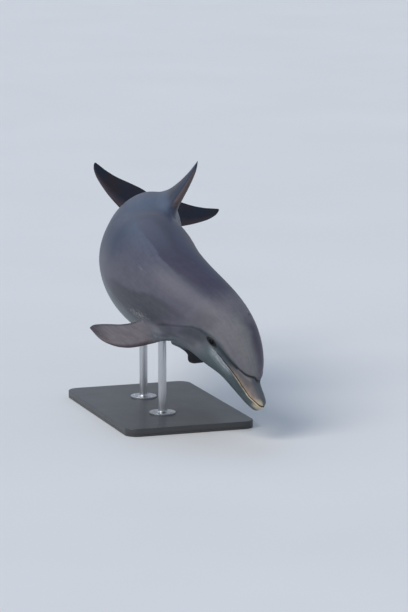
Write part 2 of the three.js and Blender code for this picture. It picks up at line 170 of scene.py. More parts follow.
SPINE_STEP = 0.01
CHUNK = 20000           # points placed at a time
AXIS_WEIGHT = 25        # of the distance along the spine against that across it, in the first guess
STEPS_HOME, STEP_SHARE = 4, 0.8     # steps towards a point's station, and how much of the way each goes
PAST_END = 0.02         # how far beyond snout and tail a station may lie
X, Y, Z = np.eye(3)


def turn(vector):
    """Rotation matrix about a vector by its length in radians."""
    angle = np.linalg.norm(vector)
    if angle < 1e-12:
        return np.eye(3)
    x, y, z = np.asarray(vector) / angle
    k = np.array([[0, -z, y], [z, 0, -x], [-y, x, 0]])
    return np.eye(3) + math.sin(angle) * k + (1 - math.cos(angle)) * k @ k


def turn_rate(station):
    rate = np.zeros(3)
    for at, reach, pitch, yaw, roll in BENDS:
        x = (station - at) / reach
        if abs(x) < 1:
            rate += np.radians([roll, pitch, yaw]) * (1 + math.cos(math.pi * x)) / (2 * reach)
    return rate


def bend_spine():
    """Centres and axes (columns forward, left, up) every SPINE_STEP from the snout tip."""
    count = round(LENGTH / SPINE_STEP)
    start = round(CHEST["station"] / SPINE_STEP)
    heading, pitch, roll = np.radians([CHEST["heading"], CHEST["pitch"], CHEST["roll"]])
    axes = {start: turn((0, 0, heading)) @ turn((0, pitch, 0)) @ turn((roll, 0, 0))}
    centres = {start: np.array([0, 0, CHEST["height"]])}
    for way, end in ((-1, 0), (1, count)):
        for i in range(start, end, way):
            step = turn_rate((i + way / 2) * SPINE_STEP) * SPINE_STEP
            axes[i + way] = axes[i] @ turn(-way * step)
            ahead = (axes[i][:, 0] + axes[i + way][:, 0]) / 2
            centres[i + way] = centres[i] - way * SPINE_STEP * ahead
    order = range(count + 1)
    return np.array([centres[i] for i in order]), np.array([axes[i] for i in order])


SPINE_CENTRES, SPINE_AXES = bend_spine()


def lengths(vectors):
    return np.linalg.norm(vectors, axis=1, keepdims=True)


def frames_at(stations):
    """Centre, forward, left and up at each station; straight beyond the two ends."""
    s = np.atleast_1d(np.asarray(stations, float))
    f = np.clip(s / SPINE_STEP, 0, len(SPINE_CENTRES) - 1)
    i = np.minimum(f.astype(int), len(SPINE_CENTRES) - 2)
    t = (f - i)[:, None]
    centre = SPINE_CENTRES[i] * (1 - t) + SPINE_CENTRES[i + 1] * t
    axes = SPINE_AXES[i] * (1 - t[:, :, None]) + SPINE_AXES[i + 1] * t[:, :, None]
    forward = axes[:, :, 0] / lengths(axes[:, :, 0])
    left = axes[:, :, 1] - forward * np.sum(axes[:, :, 1] * forward, axis=1, keepdims=True)
    left /= lengths(left)
    centre = centre + forward * (f * SPINE_STEP - s)[:, None]
    return centre, forward, left, np.cross(forward, left)


def place(stations, left, height):
    centre, _, aside, up = frames_at(stations)
    return centre + aside * np.atleast_1d(left)[:, None] + up * np.atleast_1d(height)[:, None]


def half_section(stations, above):
    """Height of the upper or lower half of the section, and how full it is."""
    reach = np.where(above, back(stations) - widest(stations), widest(stations) - belly(stations))
    return reach, np.where(above, fullness_above(stations), fullness_below(stations))


def section(stations, angles):
    """Distance to the left and height of the body's surface at an angle round the section."""
    cosine, sine = np.cos(angles), np.sin(angles)
    reach, full = half_section(stations, cosine > 0)
    left = np.sign(sine) * np.abs(sine) ** (2 / full) * half_width(stations)
    return left, widest(stations) + np.sign(cosine) * np.abs(cosine) ** (2 / full) * reach


def surface(stations, angles):
    return place(stations, *section(stations, angles))


def on_both_sides(stations, angles):
    return np.concatenate([surface(stations, angles), surface(stations, -angles)])


def locate(points):
    """Station, distance to the left and height above the spine of points near the body."""
    stations = np.zeros(len(points))
    for first in range(0, len(points), CHUNK):
        chunk = points[first:first + CHUNK, None, :] - SPINE_CENTRES[None]
        along = np.einsum("nij,ij->ni", chunk, SPINE_AXES[:, :, 0])
        cost = AXIS_WEIGHT * along ** 2 + np.sum(chunk ** 2, axis=2)
        stations[first:first + CHUNK] = np.argmin(cost, axis=1) * SPINE_STEP
    for _ in range(STEPS_HOME):
        centre, forward, _, _ = frames_at(stations)
        stations = stations - STEP_SHARE * np.sum((points - centre) * forward, axis=1)
        stations = np.clip(stations, -PAST_END, LENGTH + PAST_END)
    centre, _, left, up = frames_at(stations)
    offset = points - centre
    return stations, np.sum(offset * left, axis=1), np.sum(offset * up, axis=1)


def around(stations, left, height):
    """Angle round the section, and how far out: 1 on the body's own surface."""
    lift = height - widest(stations)
    reach, full = half_section(stations, lift > 0)
    across = (np.abs(left) / half_width(stations)) ** full
    upward = (np.abs(lift) / np.maximum(reach, 1e-4)) ** full
    angle = np.arctan2(np.sign(left) * np.sqrt(across), np.sign(lift) * np.sqrt(upward))
    return angle, (across + upward) ** (1 / full)


def side_at(stations, height):
    """Distance from the midline to the surface at a height above the spine."""
    lift = height - widest(stations)
    reach, full = half_section(stations, lift > 0)
    share = np.clip(1 - (np.abs(lift) / reach) ** full, 0, 1)
    return half_width(stations) * share ** (1 / full)


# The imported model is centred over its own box: the eyes say how far.
def eye_centre(side):
    station, height = EYE["station"], EYE["height"]
    depth = widest(station) - belly(station)
    out = half_width(station) * math.sqrt(1 - ((height - widest(station)) / depth) ** 2)
    return place(station, side * (out + EYE["proud"] - EYE["radius"]), height)[0]


def box_middle(node):
    low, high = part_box(node)
    return np.array((low + high) / 2)


SPINE_CENTRES += (box_middle("eye_left") + box_middle("eye_right") - eye_centre(1) - eye_centre(-1)) / 2


# ---- camera

CAMERA = {"azimuth": 71, "elevation": 10, "distance": 14, "lens": 180.2, "sensor": 36, "right": 0.0646,
          "up": 0.0118, "sees": 100}


def towards(azimuth, elevation):
    """Direction from the model to a camera or a lamp; azimuth 0 is in front, along -y."""
    a, e = math.radians(azimuth), math.radians(elevation)
    return Vector((math.sin(a) * math.cos(e), -math.cos(a) * math.cos(e), math.sin(e)))


def to_scene(name, data):
    made = bpy.data.objects.new(name, data)
    bpy.context.scene.collection.objects.link(made)
    return made


def make_camera():
    away = towards(CAMERA["azimuth"], CAMERA["elevation"])
    right = Vector((0, 0, 1)).cross(away).normalized()
    up = away.cross(right)
    chest = Vector(frames_at(CHEST["station"])[0][0])
    aim = chest + right * CAMERA["right"] + up * CAMERA["up"]
    data = bpy.data.cameras.new("camera")
    data.sensor_width = CAMERA["sensor"]
    data.lens = CAMERA["lens"]
    data.clip_end = CAMERA["sees"]
    camera = to_scene("camera", data)
    turned = Matrix((right, up, away)).transposed().to_4x4()
    camera.matrix_world = Matrix.Translation(aim + away * CAMERA["distance"]) @ turned
    bpy.context.scene.camera = camera


make_camera()


# ---- meshes

def new_object(name, points, faces):
    mesh = bpy.data.meshes.new(name)
    mesh.from_pydata([tuple(p) for p in points], [], faces)
    mesh.validate()
    mesh.update()
    return to_scene(name, mesh)


def loft(name, rings):
    """Closed solid through rings (count, points, 3), with a fan over each end, facing out."""
    count, size = rings.shape[:2]
    points = np.concatenate([rings.reshape(-1, 3), [rings[0].mean(0), rings[-1].mean(0)]])
    j = np.arange(size)
    k = (j + 1) % size
    faces = []
    for i in range(count - 1):
        a = i * size
        faces.extend(zip(a + j, a + k, a + size + k, a + size + j))
    end = (count - 1) * size
    faces.extend(zip(np.full(size, len(points) - 2), k, j))
    faces.extend(zip(np.full(size, len(points) - 1), end + j, end + k))
    made = new_object(name, points, [tuple(int(v) for v in f) for f in faces])
    face_out(made)
    return made


def face_out(obj):
    work = bmesh.new()
    work.from_mesh(obj.data)
    if work.calc_volume(signed=True) < 0:
        bmesh.ops.reverse_faces(work, faces=work.faces)
    work.to_mesh(obj.data)
    work.free()


def combine(obj, other, operation):
    """Join another closed mesh to this one, or cut it out of this one. The other object goes."""
    boolean = obj.modifiers.new("combine", "BOOLEAN")
    boolean.operation = operation
    boolean.object = other
    boolean.solver = "EXACT"
    mesh = bpy.data.meshes.new_from_object(obj.evaluated_get(bpy.context.evaluated_depsgraph_get()))
    obj.modifiers.clear()
    obj.data = mesh
    bpy.data.objects.remove(other)


def read_all(collection, key, width, kind=np.float32):
    out = np.zeros(len(collection) * width, kind)
    collection.foreach_get(key, out)
    return out.reshape(-1, width)


def coordinates(obj):
    return read_all(obj.data.vertices, "co", 3).astype(float)


def set_coordinates(obj, co):
    obj.data.vertices.foreach_set("co", co.astype(np.float32).ravel())
    obj.data.update()


def normals(obj):
    return read_all(obj.data.vertex_normals, "vector", 3).astype(float)


def relax(values, pairs, weight, rounds):
    """Move each value towards the mean of its neighbours, by its weight, several times."""
    a, b = pairs.T
    count = len(values)
    neighbours = np.maximum(np.bincount(np.concatenate([a, b]), minlength=count), 1)[:, None]
    for _ in range(rounds):
        total = np.stack([np.bincount(a, values[b, c], count) + np.bincount(b, values[a, c], count)
                          for c in range(values.shape[1])], axis=1)
        values = values + weight[:, None] * (total / neighbours - values)
    return values


def nearest(points, line):
    """For each point, which of a line's closely set points is the nearest, and how far away it is."""
    tree = KDTree(len(line))
    for i, p in enumerate(line):
        tree.insert(p, i)
    tree.balance()
    found = [tree.find(p)[1:] for p in points]
    return np.array([number for number, _ in found]), np.array([distance for _, distance in found])


def distance_to(points, line):
    return nearest(points, line)[1]


# ---- the skin's base: body and fins in one

AROUND = 128            # points in a ring
FINE_ANGLES = 1441      # at which their crowding is added up
HEAD_END = 0.46
TAIL_START = 2.30
SNOUT, SNOUT_RINGS = 0.03, 14
RING_SPANS = [(SNOUT, HEAD_END, 0.0045), (HEAD_END, TAIL_START, 0.016), (TAIL_START, LENGTH, 0.009)]
CROWDED = {"angle": 92, "width": 18, "share": 1.5, "fades": (0.38, 0.60)}     # points round mouth and eyes
FOIL_POINTS = 30
FIN_RINGS = 34
FOIL = (2.969, -1.26, -3.516, 2.843, -1.036)      # of the square root of the chord and its first four powers
PIVOT = 0.7             # share of the chord towards which a fin's tip is rounded
TIP_POWER, TIP_LEAST = 2.4, 0.0008
SEAM_REACH = 0.10       # fins further away than this don't matter to the seam
SWELLING = 0.20         # of a fillet, against its width
SOFTENED, EVENED = (0.6, 14), (0.5, 30)     # weight and rounds for a fillet's direction and its surface


def ring_stations():
    snout = SNOUT * (np.arange(SNOUT_RINGS) / SNOUT_RINGS) ** 2
    return np.concatenate([snout, *(np.arange(*span) for span in RING_SPANS), [LENGTH]])


def ring_angles(station):
    """Angles round the section, drawn together on the head where mouth and eyes are."""
    crowding = float(fade(station, *CROWDED["fades"])) * CROWDED["share"]
    fine = np.linspace(-math.pi, math.pi, FINE_ANGLES)
    density = 1 + crowding * bump(np.degrees(np.abs(fine)) - CROWDED["angle"], CROWDED["width"])
    total = np.concatenate([[0], np.cumsum((density[1:] + density[:-1]) / 2)])
    return np.interp(np.arange(AROUND) / AROUND, total / total[-1], fine)


def body_loft():
    rings = [surface(np.full(AROUND, station), ring_angles(station)) for station in ring_stations()]
    return loft("skin", np.array(rings))


def yawed(forward, left, degrees):
    """Both directions turned to the left about the third."""
    cosine, sine = math.cos(math.radians(degrees)), math.sin(math.radians(degrees))
    return forward * cosine + left * sine, left * cosine - forward * sine


def fin_loft(name, outline, first, rounding, origin, aft, span, normal):
    """A fin from its first reach to its rounded tip, as rings round the foil section."""
    lead, trail, thick = (curve(outline[key]) for key in ("leading", "trailing", "thickness"))
    tip = outline["leading"][-1][0] * MM
    reaches = first + (tip - first) * np.sin(np.linspace(0, math.pi / 2, FIN_RINGS))
    u = (1 - np.cos(np.linspace(0, math.pi, FOIL_POINTS))) / 2
    foil = sum(share * power for share, power in zip(FOIL, (np.sqrt(u), u, u ** 2, u ** 3, u ** 4))) / 2
    rings = []
    for reach in reaches:
        past = max((reach - tip + rounding) / rounding, 0)
        left_over = math.sqrt(max(1 - past ** TIP_POWER, TIP_LEAST))
        front, rear = lead(reach), trail(reach)
        pivot = front + PIVOT * (rear - front)
        along = pivot + (front + (rear - front) * u - pivot) * left_over
        middle = origin + span * reach + aft * along[:, None]
        face = normal * (np.maximum(foil, 0) * thick(reach) * left_over)[:, None]
        rings.append(np.concatenate([middle + face, (middle - face)[-2:0:-1]]))
    return loft(name, np.array(rings))


def dorsal_axes():
    """Where a fin starts, and its directions aft, out and through: here and in the next two functions."""
    middle = DORSAL_FIN["station"] + DORSAL_FIN["chord"] / 2
    centre, forward, left, up = (v[0] for v in frames_at(middle))
    lean = math.radians(DORSAL_FIN["lean"])
    ahead, aside = yawed(forward, left, DORSAL_FIN["yaw"])
    origin = centre + forward * (middle - DORSAL_FIN["station"]) + up * back(middle)
    normal = aside * math.cos(lean) - up * math.sin(lean)
    return origin, -ahead, up * math.cos(lean) + aside * math.sin(lean), normal


def flipper_axes(side):
    sweep, droop, twist = np.radians(FLIPPER_ANGLES[side])
    centre, forward, left, up = (v[0] for v in frames_at(FLIPPER["station"]))
    outward = left * side
    origin = centre + outward * half_width(FLIPPER["station"]) * FLIPPER["out"] + up * FLIPPER["height"]
    drooped = outward * math.cos(droop) - up * math.sin(droop)
    face = up * math.cos(droop) + outward * math.sin(droop)
    span = drooped * math.cos(sweep) - forward * math.sin(sweep)
    chord = -forward * math.cos(sweep) - drooped * math.sin(sweep)
    aft = chord * math.cos(twist) + face * math.sin(twist)
    return origin, aft, span, np.cross(span, aft)


def fluke_axes(side):
    centre, forward, left, up = (v[0] for v in frames_at(FLUKE["station"]))
    ahead, aside = yawed(forward, left, FLUKE["yaw"])
    return centre + forward * (FLUKE["station"] - FLUKE["hinge"]), -ahead, aside * side, up


FINS = {     # outline, first reach, rounding of the tip, axes, width of the fillet
    "dorsal": (DORSAL_FIN, -0.057, 0.036, dorsal_axes(), 0.060),
    "flipper_left": (FLIPPER, -0.070, 0.034, flipper_axes(1), 0.050),
    "flipper_right": (FLIPPER, -0.070, 0.034, flipper_axes(-1), 0.050),
    "fluke_left": (FLUKE, -0.004, 0.010, fluke_axes(1), 0.036),
    "fluke_right": (FLUKE, -0.004, 0.010, fluke_axes(-1), 0.036),
}


def build_skin():
    """Body and fins in one, and a search tree of each fin by itself."""
    skin = body_loft()
    trees = {}
    for name, (outline, first, rounding, axes, _) in FINS.items():
        made = fin_loft(name, outline, first, rounding, *axes)
        trees[name] = BVHTree.FromObject(made, bpy.context.evaluated_depsgraph_get())
        combine(skin, made, "UNION")
    return skin, trees


class Points:
    """The skin's points and where each one is on the animal."""

    def __init__(self, skin):
        self.co = coordinates(skin)
        self.station, self.left, self.height = locate(self.co)
        self.angle, self.out = around(self.station, self.left, self.height)
        self.degrees = np.degrees(np.abs(self.angle))
        self.outside = np.maximum(self.out - 1, 0) * np.hypot(self.left, self.height)


def refine(skin, chosen):
    """Cut each face whose points are all chosen into four."""
    work = bmesh.new()
    work.from_mesh(skin.data)
    cut = set()
    for face in work.faces:
        if all(chosen[v.index] for v in face.verts):
            cut.update(face.edges)
    bmesh.ops.subdivide_edges(work, edges=list(cut), cuts=1, use_grid_fill=True, use_single_edge=True)
    work.to_mesh(skin.data)
    work.free()


def junction_distance(points, trees):
    """How far each point is from the seam between the body and a fin, and the width of that fin's fillet."""
    from_fin = np.full(len(points.co), 1.0)
    width = np.full(len(points.co), SEAM_REACH)
    for name, tree in trees.items():
        for i, p in enumerate(points.co):
            _, _, _, distance = tree.find_nearest(Vector(p), SEAM_REACH)
            if distance is not None and distance < from_fin[i]:
                from_fin[i] = distance
                width[i] = FINS[name][-1]
    return np.maximum(points.outside, from_fin), width


def fillet(skin, trees):
    """Swell the seams of the fins outwards and even them, so that the fins grow out of the body."""
    points = Points(skin)
    distance, width = junction_distance(points, trees)
    pairs = read_all(skin.data.edges, "vertices", 2, np.int32)
    near = np.clip(1 - distance / width, 0, 1)
    weight, rounds = SOFTENED
    soft = relax(normals(skin), pairs, np.where(near > 0, weight, 0.0), rounds)
    soft /= np.maximum(lengths(soft), 1e-6)
    co = points.co + soft * (near ** 2 * width * SWELLING)[:, None]
    weight, rounds = EVENED
    set_coordinates(skin, relax(co, pairs, weight * smooth_step(near, 0, 0.5), rounds))


# ---- lines and places on the skin

# The crease between beak and melon in degrees and mm, and the flipper's fold in mm and degrees.
CREASE = [(0, 102), (15, 104), (34, 118), (65, 143), (78, 187), (83, 225), (85, 268), (88, 310)]
FOLD = [(430, 93), (490, 102), (540, 110), (585, 118), (640, 128), (675, 124)]
FOLD_START = 0.44
FOLD_ABOVE = 9          # degrees from the fold to the one above it
LINE_STEP = 0.002       # between the points of a line on the skin; the lips' are twice as close
LIP_FRONT_POINTS, CREASE_STEPS = 20, 400
AXILLA = {"station": 0.675, "degrees": 121, "rise": 60, "girth": 0.2}   # rise: degrees for each metre aft
BLOWHOLE_ARC = {"station": 0.345, "left": 0.004, "radius": 0.015, "reach": 1.35}
EYE_OPENING = (0.0145, 0.0068)      # half length and half height
EYE_SPAN = 0.004        # over which the skin's slope at the eye is taken

crease_station = curve([(degree / MM, station) for degree, station in CREASE])
fold_angle = curve(FOLD, 1)


def lip_points():
    """The lip line along both sides and across the front."""
    stations = np.arange(0, MOUTH_CORNER, LINE_STEP / 2)
    height = lip_line(stations)
    out = side_at(stations, height)
    front = np.linspace(-out[0], out[0], LIP_FRONT_POINTS)
    nothing = np.zeros(len(front))
    return np.concatenate([place(stations, out, height), place(stations, -out, height),
                           place(nothing, front, nothing + height[0])])


def crease_points():
    degrees = np.linspace(0, CREASE[-1][0], CREASE_STEPS)
    return on_both_sides(crease_station(degrees), np.radians(degrees))


def fold_points(offset=0.0):
    stations = np.arange(FOLD_START, AXILLA["station"], LINE_STEP)
    return on_both_sides(stations, np.radians(fold_angle(stations) - offset))


def eye_axes(side):
    """Centre of the eyeball, and the directions forward, up and out of the skin there."""
    station, height = EYE["station"], EYE["height"]

    def skin_at(ahead, above):
        s = np.array([station + ahead])
        return place(s, side * side_at(s, height + above)[0], height + above)[0]

    forward = skin_at(-EYE_SPAN, 0) - skin_at(EYE_SPAN, 0)
    up = skin_at(0, EYE_SPAN) - skin_at(0, -EYE_SPAN)
    forward /= np.linalg.norm(forward)
    out = np.cross(forward, up) * -side
    out /= np.linalg.norm(out)
    up = np.cross(out, forward) * -side
    return eye_centre(side), forward, up / np.linalg.norm(up), out


EYES = {side: eye_axes(side) for side in (-1, 1)}       # right and left


def eye_place(co, side):
    """Distances forward, up and out from the eye's centre."""
    centre, *axes = EYES[side]
    return [(co - centre) @ axis for axis in axes]


def blowhole_place(points):
    """Angle round the slit's arc (0 in its middle), distance from the arc's centre, and what lies on top."""
    ahead = BLOWHOLE_ARC["station"] - points.station
    aside = points.left - BLOWHOLE_ARC["left"]
    return np.arctan2(aside, -ahead), np.hypot(ahead, aside), points.height > 0


def armpit_place(points):
    """Distance aft of the armpit, and across its wrinkles."""
    aft = points.station - AXILLA["station"]
    across = points.degrees - AXILLA["degrees"] - AXILLA["rise"] * aft
    return aft, across * np.radians(1) * AXILLA["girth"]


# ---- paints

class Paint:
    """Nodes of a material or the world. Each call takes sockets or numbers and gives a socket."""

    def __init__(self, name, colour=None, kind="materials", shader="Principled BSDF"):
        self.made = getattr(bpy.data, kind).new(name)
        self.made.use_nodes = True
        self.tree = self.made.node_tree
        self.shader = self.tree.nodes[shader]
        self.colour = colour

    def put(self, socket, value):
        if isinstance(value, bpy.types.NodeSocket):
            self.tree.links.new(value, socket)
        elif isinstance(value, tuple) and socket.type == "RGBA":
            socket.default_value = (*value, 1)
        else:
            socket.default_value = value

    def set(self, **values):
        for name, value in values.items():
            self.put(self.shader.inputs[name.replace("_", " ")], value)

    def node(self, kind, output, given=(), **settings):
        """One node with its settings and its inputs, by name or number, and one of its outputs."""
        made = self.tree.nodes.new("ShaderNode" + kind)
        for name, value in settings.items():
            setattr(made, name, value)
        for name, value in dict(given).items():
            self.put(made.inputs[name], value)
        return made.outputs[output]

    def read(self, name, output="Fac"):
        return self.node("Attribute", output, attribute_name=name)

    def where(self):
        return self.node("TexCoord", "Object")

    def calc(self, operation, a, b=0.0, c=0.0, clamp=False):
        return self.node("Math", 0, {0: a, 1: b, 2: c}, operation=operation, use_clamp=clamp)

    def add(self, base, value, times):
        return self.calc("MULTIPLY_ADD", value, times, base)

    def size(self, value):
        return self.calc("ABSOLUTE", value)

    def noise(self, vector, scale, detail=3.0, rough=0.55, bend=0.0):
        given = {"Vector": vector, "Scale": scale, "Detail": detail, "Roughness": rough, "Distortion": bend}
        return self.node("TexNoise", "Fac", given)

    def stretched(self, vector, by, scale, *kind):
        """Noise drawn out by a scale for each direction."""
        longer = self.node("VectorMath", 0, {0: vector, 1: by}, operation="MULTIPLY")
        return self.noise(longer, scale, *kind)

    def step(self, value, low, high, below=0.0, above=1.0):
        given = {"Value": value, "From Min": low, "From Max": high, "To Min": below, "To Max": above}
        return self.node("MapRange", "Result", given, interpolation_type="SMOOTHSTEP")

    def share(self, *parts):
        """The product of its parts. A part is a socket, a number, or what a step takes."""
        product, *others = [self.step(*part) if isinstance(part, tuple) else part for part in parts]
        for other in others:
            product = self.calc("MULTIPLY", product, other)
        return product

    def mix(self, share, first, second, way="MIX"):
        return self.node("Mix", 2, {0: share, 6: first, 7: second}, data_type="RGBA", blend_type=way)

    def lay(self, colour, *parts):
        """Put a colour or a named tint over the paint so far, as strongly as the share of the parts."""
        self.colour = self.mix(self.share(*parts), self.colour, TINT.get(colour, colour))

    def bump(self, height, strength, distance):
        given = {"Height": height, "Strength": strength, "Distance": distance}
        self.set(Normal=self.node("Bump", "Normal", given))


def field(obj, name, values):
    """Values kept at the points of a mesh for its material to read."""
    values = np.asarray(values, np.float32)
    kind, key = ("FLOAT", "value") if values.ndim == 1 else ("FLOAT_VECTOR", "vector")
    obj.data.attributes.new(name, kind, "POINT").data.foreach_set(key, values.ravel())


# ---- where the skin's markings lie

# Edges of the dark cape, the side patch, the pale underside and the painted shade in the neck's hollow:
# station in mm, degrees.
CAPE = [(0, 20), (110, 14), (150, 18), (200, 22), (250, 24), (290, 18), (340, 28), (380, 38), (420, 46),
        (740, 48), (820, 47), (910, 48), (1020, 50), (1130, 50), (1300, 52), (1500, 55), (1700, 70),
        (2100, 95), (2500, 120)]
SIDE_PATCH = [(0, 90), (470, 88), (520, 86), (570, 86), (620, 86), (660, 88), (710, 93), (750, 98),
              (800, 102), (840, 105), (900, 110), (1000, 120), (2500, 140)]
BELLY_EDGE = [(0, 140), (100, 140), (300, 125), (450, 128), (600, 132), (1000, 132), (1300, 138),
              (1600, 146), (1900, 160), (2100, 175), (2500, 178)]
HOLLOW = [(300, 98), (340, 93), (390, 90), (430, 93), (490, 102), (540, 110), (590, 118), (640, 128)]
EYE_STRIPE = [  # station in metres, degrees, half width in millimetres
    (0.190, 79, 7), (0.215, 82, 10), (0.240, 85, 12), (0.270, 87, 14), (0.310, 87, 15), (0.335, 88, 14),
    (0.360, 88, 12), (0.390, 89, 8), (0.410, 90, 6.5), (0.440, 93, 5), (0.490, 102, 4), (0.540, 110, 3),
]
LIDS_REACH = (0.029, 0.0115)        # half length and half height of the dark skin round the eye
LINE_REACH = 0.06       # as far as distances from lip, crease and fold are kept
GRAIN_RADIUS = 0.17     # of the round that the streaks are laid out on
FIN_CLEAR = 0.004       # the paint of a fin starts this far out of the body
# What counts as a fin: how far from mid chord in chords, off its plane and past its tip. Its paint comes in
# over the first stretch of its reach.
FIN_BOX = {"chord": 0.75, "lift": 0.09, "past_tip": 0.02, "least_chord": 0.005, "fades": 0.12}
FLUKE_COMES = (2.10, 2.46)      # stations over which the tail stock takes the flukes' colour
FACE_EDGE = 0.004       # half the stretch from a flipper's upper to its lower colour
# The armpit's painted shade and painted wet glints: where its middle is, how long and tall it is, and how far
# out of the body.
ARMPIT = {"aft": 0.035, "long": 0.09, "tall": 0.034, "outside": 0.03}


def stripe_share(points):
    """From 1 in the middle of the dark stripe to 0 at three times its half width."""
    s = np.arange(EYE_STRIPE[0][0], EYE_STRIPE[-1][0], LINE_STEP)
    at, angle, width = np.array(EYE_STRIPE).T
    number, distance = nearest(points.co, on_both_sides(s, np.radians(np.interp(s, at, angle))))
    widths = np.interp(s, at, width) * MM
    return np.clip(1 - distance / (3 * widths[number % len(s)]), 0, 1)


def fin_place(points, name):
    """Shares of a fin's reach and chord, its presence (0 off it, rising from its root) and side of it."""
    outline, _, _, (origin, aft, span, normal), _ = FINS[name]
    reach, along, lift = [(points.co - origin) @ axis for axis in (span, aft, normal)]
    lead, trail = curve(outline["leading"])(reach), curve(outline["trailing"])(reach)
    chord = (along - lead) / np.maximum(trail - lead, FIN_BOX["least_chord"])
    tip = outline["leading"][-1][0] * MM
    there = (np.abs(chord - 0.5) < FIN_BOX["chord"]) & (np.abs(lift) < FIN_BOX["lift"])
    there &= reach < tip + FIN_BOX["past_tip"]
    return reach / tip, chord, smooth_step(reach, 0, FIN_BOX["fades"]) * there, lift


def fin_fields(points):
    """How much of each kind of fin a point is on, and where on it."""
    clear = points.outside > FIN_CLEAR
    names = ("fluke", "flipper", "dorsal", "shaded_face", "reach", "chord")
    made = {name: np.zeros(len(points.co)) for name in names}
    for name in FINS:
        reach, chord, there, lift = fin_place(points, name)
        kind = name.split("_")[0]
        made[kind] = np.maximum(made[kind], there if kind == "fluke" else there * clear)
        found = {"reach": np.clip(reach, 0, 1), "chord": np.clip(chord, 0, 1)}
        # A flipper's underside gets painted shade.
        if kind == "flipper":
            under = -lift if name == "flipper_left" else lift
            found["shaded_face"] = smooth_step(under, -FACE_EDGE, FACE_EDGE)
        for key, values in found.items():
            made[key] = np.where(there > 0, values, made[key])
    made["fluke"] = np.maximum(made["fluke"], smooth_step(points.station, *FLUKE_COMES))
    return made


def skin_fields(skin, points, lines):
    """Everything that the skin's paint reads: places in metres or degrees, and shares from 0 to 1."""
    s, degrees = points.station, points.degrees
    girth = (half_width(s) + (back(s) - belly(s)) / 2) / 2

    def below(outline):
        return np.radians(degrees - curve(outline, 1)(s)) * girth

    lip, crease, fold = (np.clip(line, 0, LINE_REACH) for line in lines)
    eyes = [eye_place(points.co, side) for side in EYES]
    long, tall = LIDS_REACH
    lids = np.minimum(*[np.hypot(x / long, y / tall) + 9 * (z < 0) for x, y, z in eyes])
    aft, across = armpit_place(points)
    armpit = bump(across, ARMPIT["tall"]) * bump(aft - ARMPIT["aft"], ARMPIT["long"])
    fields = {
        "station": s, "degrees": degrees, "crease": crease, "fold": fold, "lids": lids.clip(0, 4),
        "cape": -below(CAPE), "patch": below(SIDE_PATCH), "under": below(BELLY_EDGE),
        "hollow": below(HOLLOW), "stripe": stripe_share(points), "beak": crease_station(degrees) - s,
        "lip": lip * np.sign(points.height - lip_line(s)),
        "grain": np.stack([s, points.angle * GRAIN_RADIUS, points.outside], axis=1),
        "armpit": armpit * (points.outside < ARMPIT["outside"]),
    }
    for name, values in (fields | fin_fields(points)).items():
        field(skin, name, values)


# ---- the skin's paint

# Tints that paint light: the rump's and rump top's blue is painted sky sheen. The ridge, neck, jaw, lower
# beak, groove and flipper underside tints are painted shade. The underside's darkened teal is partly painted
# shade and a painted water reflection. The armpit, jaw sheen, jaw glint and beak tan tints are painted
# highlights. The lip and tip tints are partly painted golden highlight.
TINT = {
    "flank": (0.090, 0.092, 0.128), "rump": (0.037, 0.053, 0.090), "rump_top": (0.054, 0.083, 0.142),
    "tail": (0.052, 0.060, 0.086), "blaze": (0.114, 0.109, 0.138), "patch": (0.068, 0.070, 0.087),
    "cape": (0.062, 0.057, 0.086), "cape_rear": (0.049, 0.048, 0.074), "ridge_shade": (0.056, 0.060, 0.096),
    "under": (0.150, 0.175, 0.190), "neck": (0.046, 0.052, 0.064), "armpit": (0.29, 0.29, 0.29),
    "melon": (0.172, 0.166, 0.184), "melon_pale": (0.205, 0.200, 0.205), "temple": (0.080, 0.079, 0.096),
    "jaw": (0.088, 0.116, 0.128), "jaw_pale": (0.270, 0.300, 0.320), "jaw_streak": (0.62, 0.65, 0.66),
    "beak_top": (0.106, 0.116, 0.130), "beak_side": (0.185, 0.160, 0.158), "beak_tan_glint": (0.420, 0.310, 0.215),
    "lower_beak": (0.060, 0.080, 0.088), "ledge": (0.27, 0.27, 0.27), "tip": (0.64, 0.55, 0.38),
    "lip": (0.66, 0.54, 0.38), "stripe": (0.034, 0.050, 0.060), "lid": (0.004, 0.005, 0.007),
    "fin": (0.020, 0.025, 0.046), "fin_edge": (0.18, 0.125, 0.105), "flipper": (0.165, 0.142, 0.150),
    "flipper_tip": (0.055, 0.043, 0.052), "shaded_face": (0.045, 0.047, 0.056), "fluke": (0.011, 0.015, 0.026),
    "fluke_brown": (0.020, 0.014, 0.018), "fluke_edge": (0.052, 0.036, 0.046),
    "groove": (0.018, 0.018, 0.022), "scratch": (0.42, 0.42, 0.43),
}
STREAKS = {  # waves a metre along, round and out of the skin; scale, detail, roughness and bend of the noise
    "streak": ((7, 95, 30), 1, 4, 0.6, 0.3),
    "fibre": ((22, 320, 60), 1, 3, 0.6, 0.2),
    "glint": ((28, 300, 30), 1, 4, 0.6, 0.3),
    "wrinkle": ((75, 260, 40), 1, 4, 0.65, 0.8),
    "scratch": ((3.1, 74, 20), 1.7, 1, 0.3, 0.25),
}


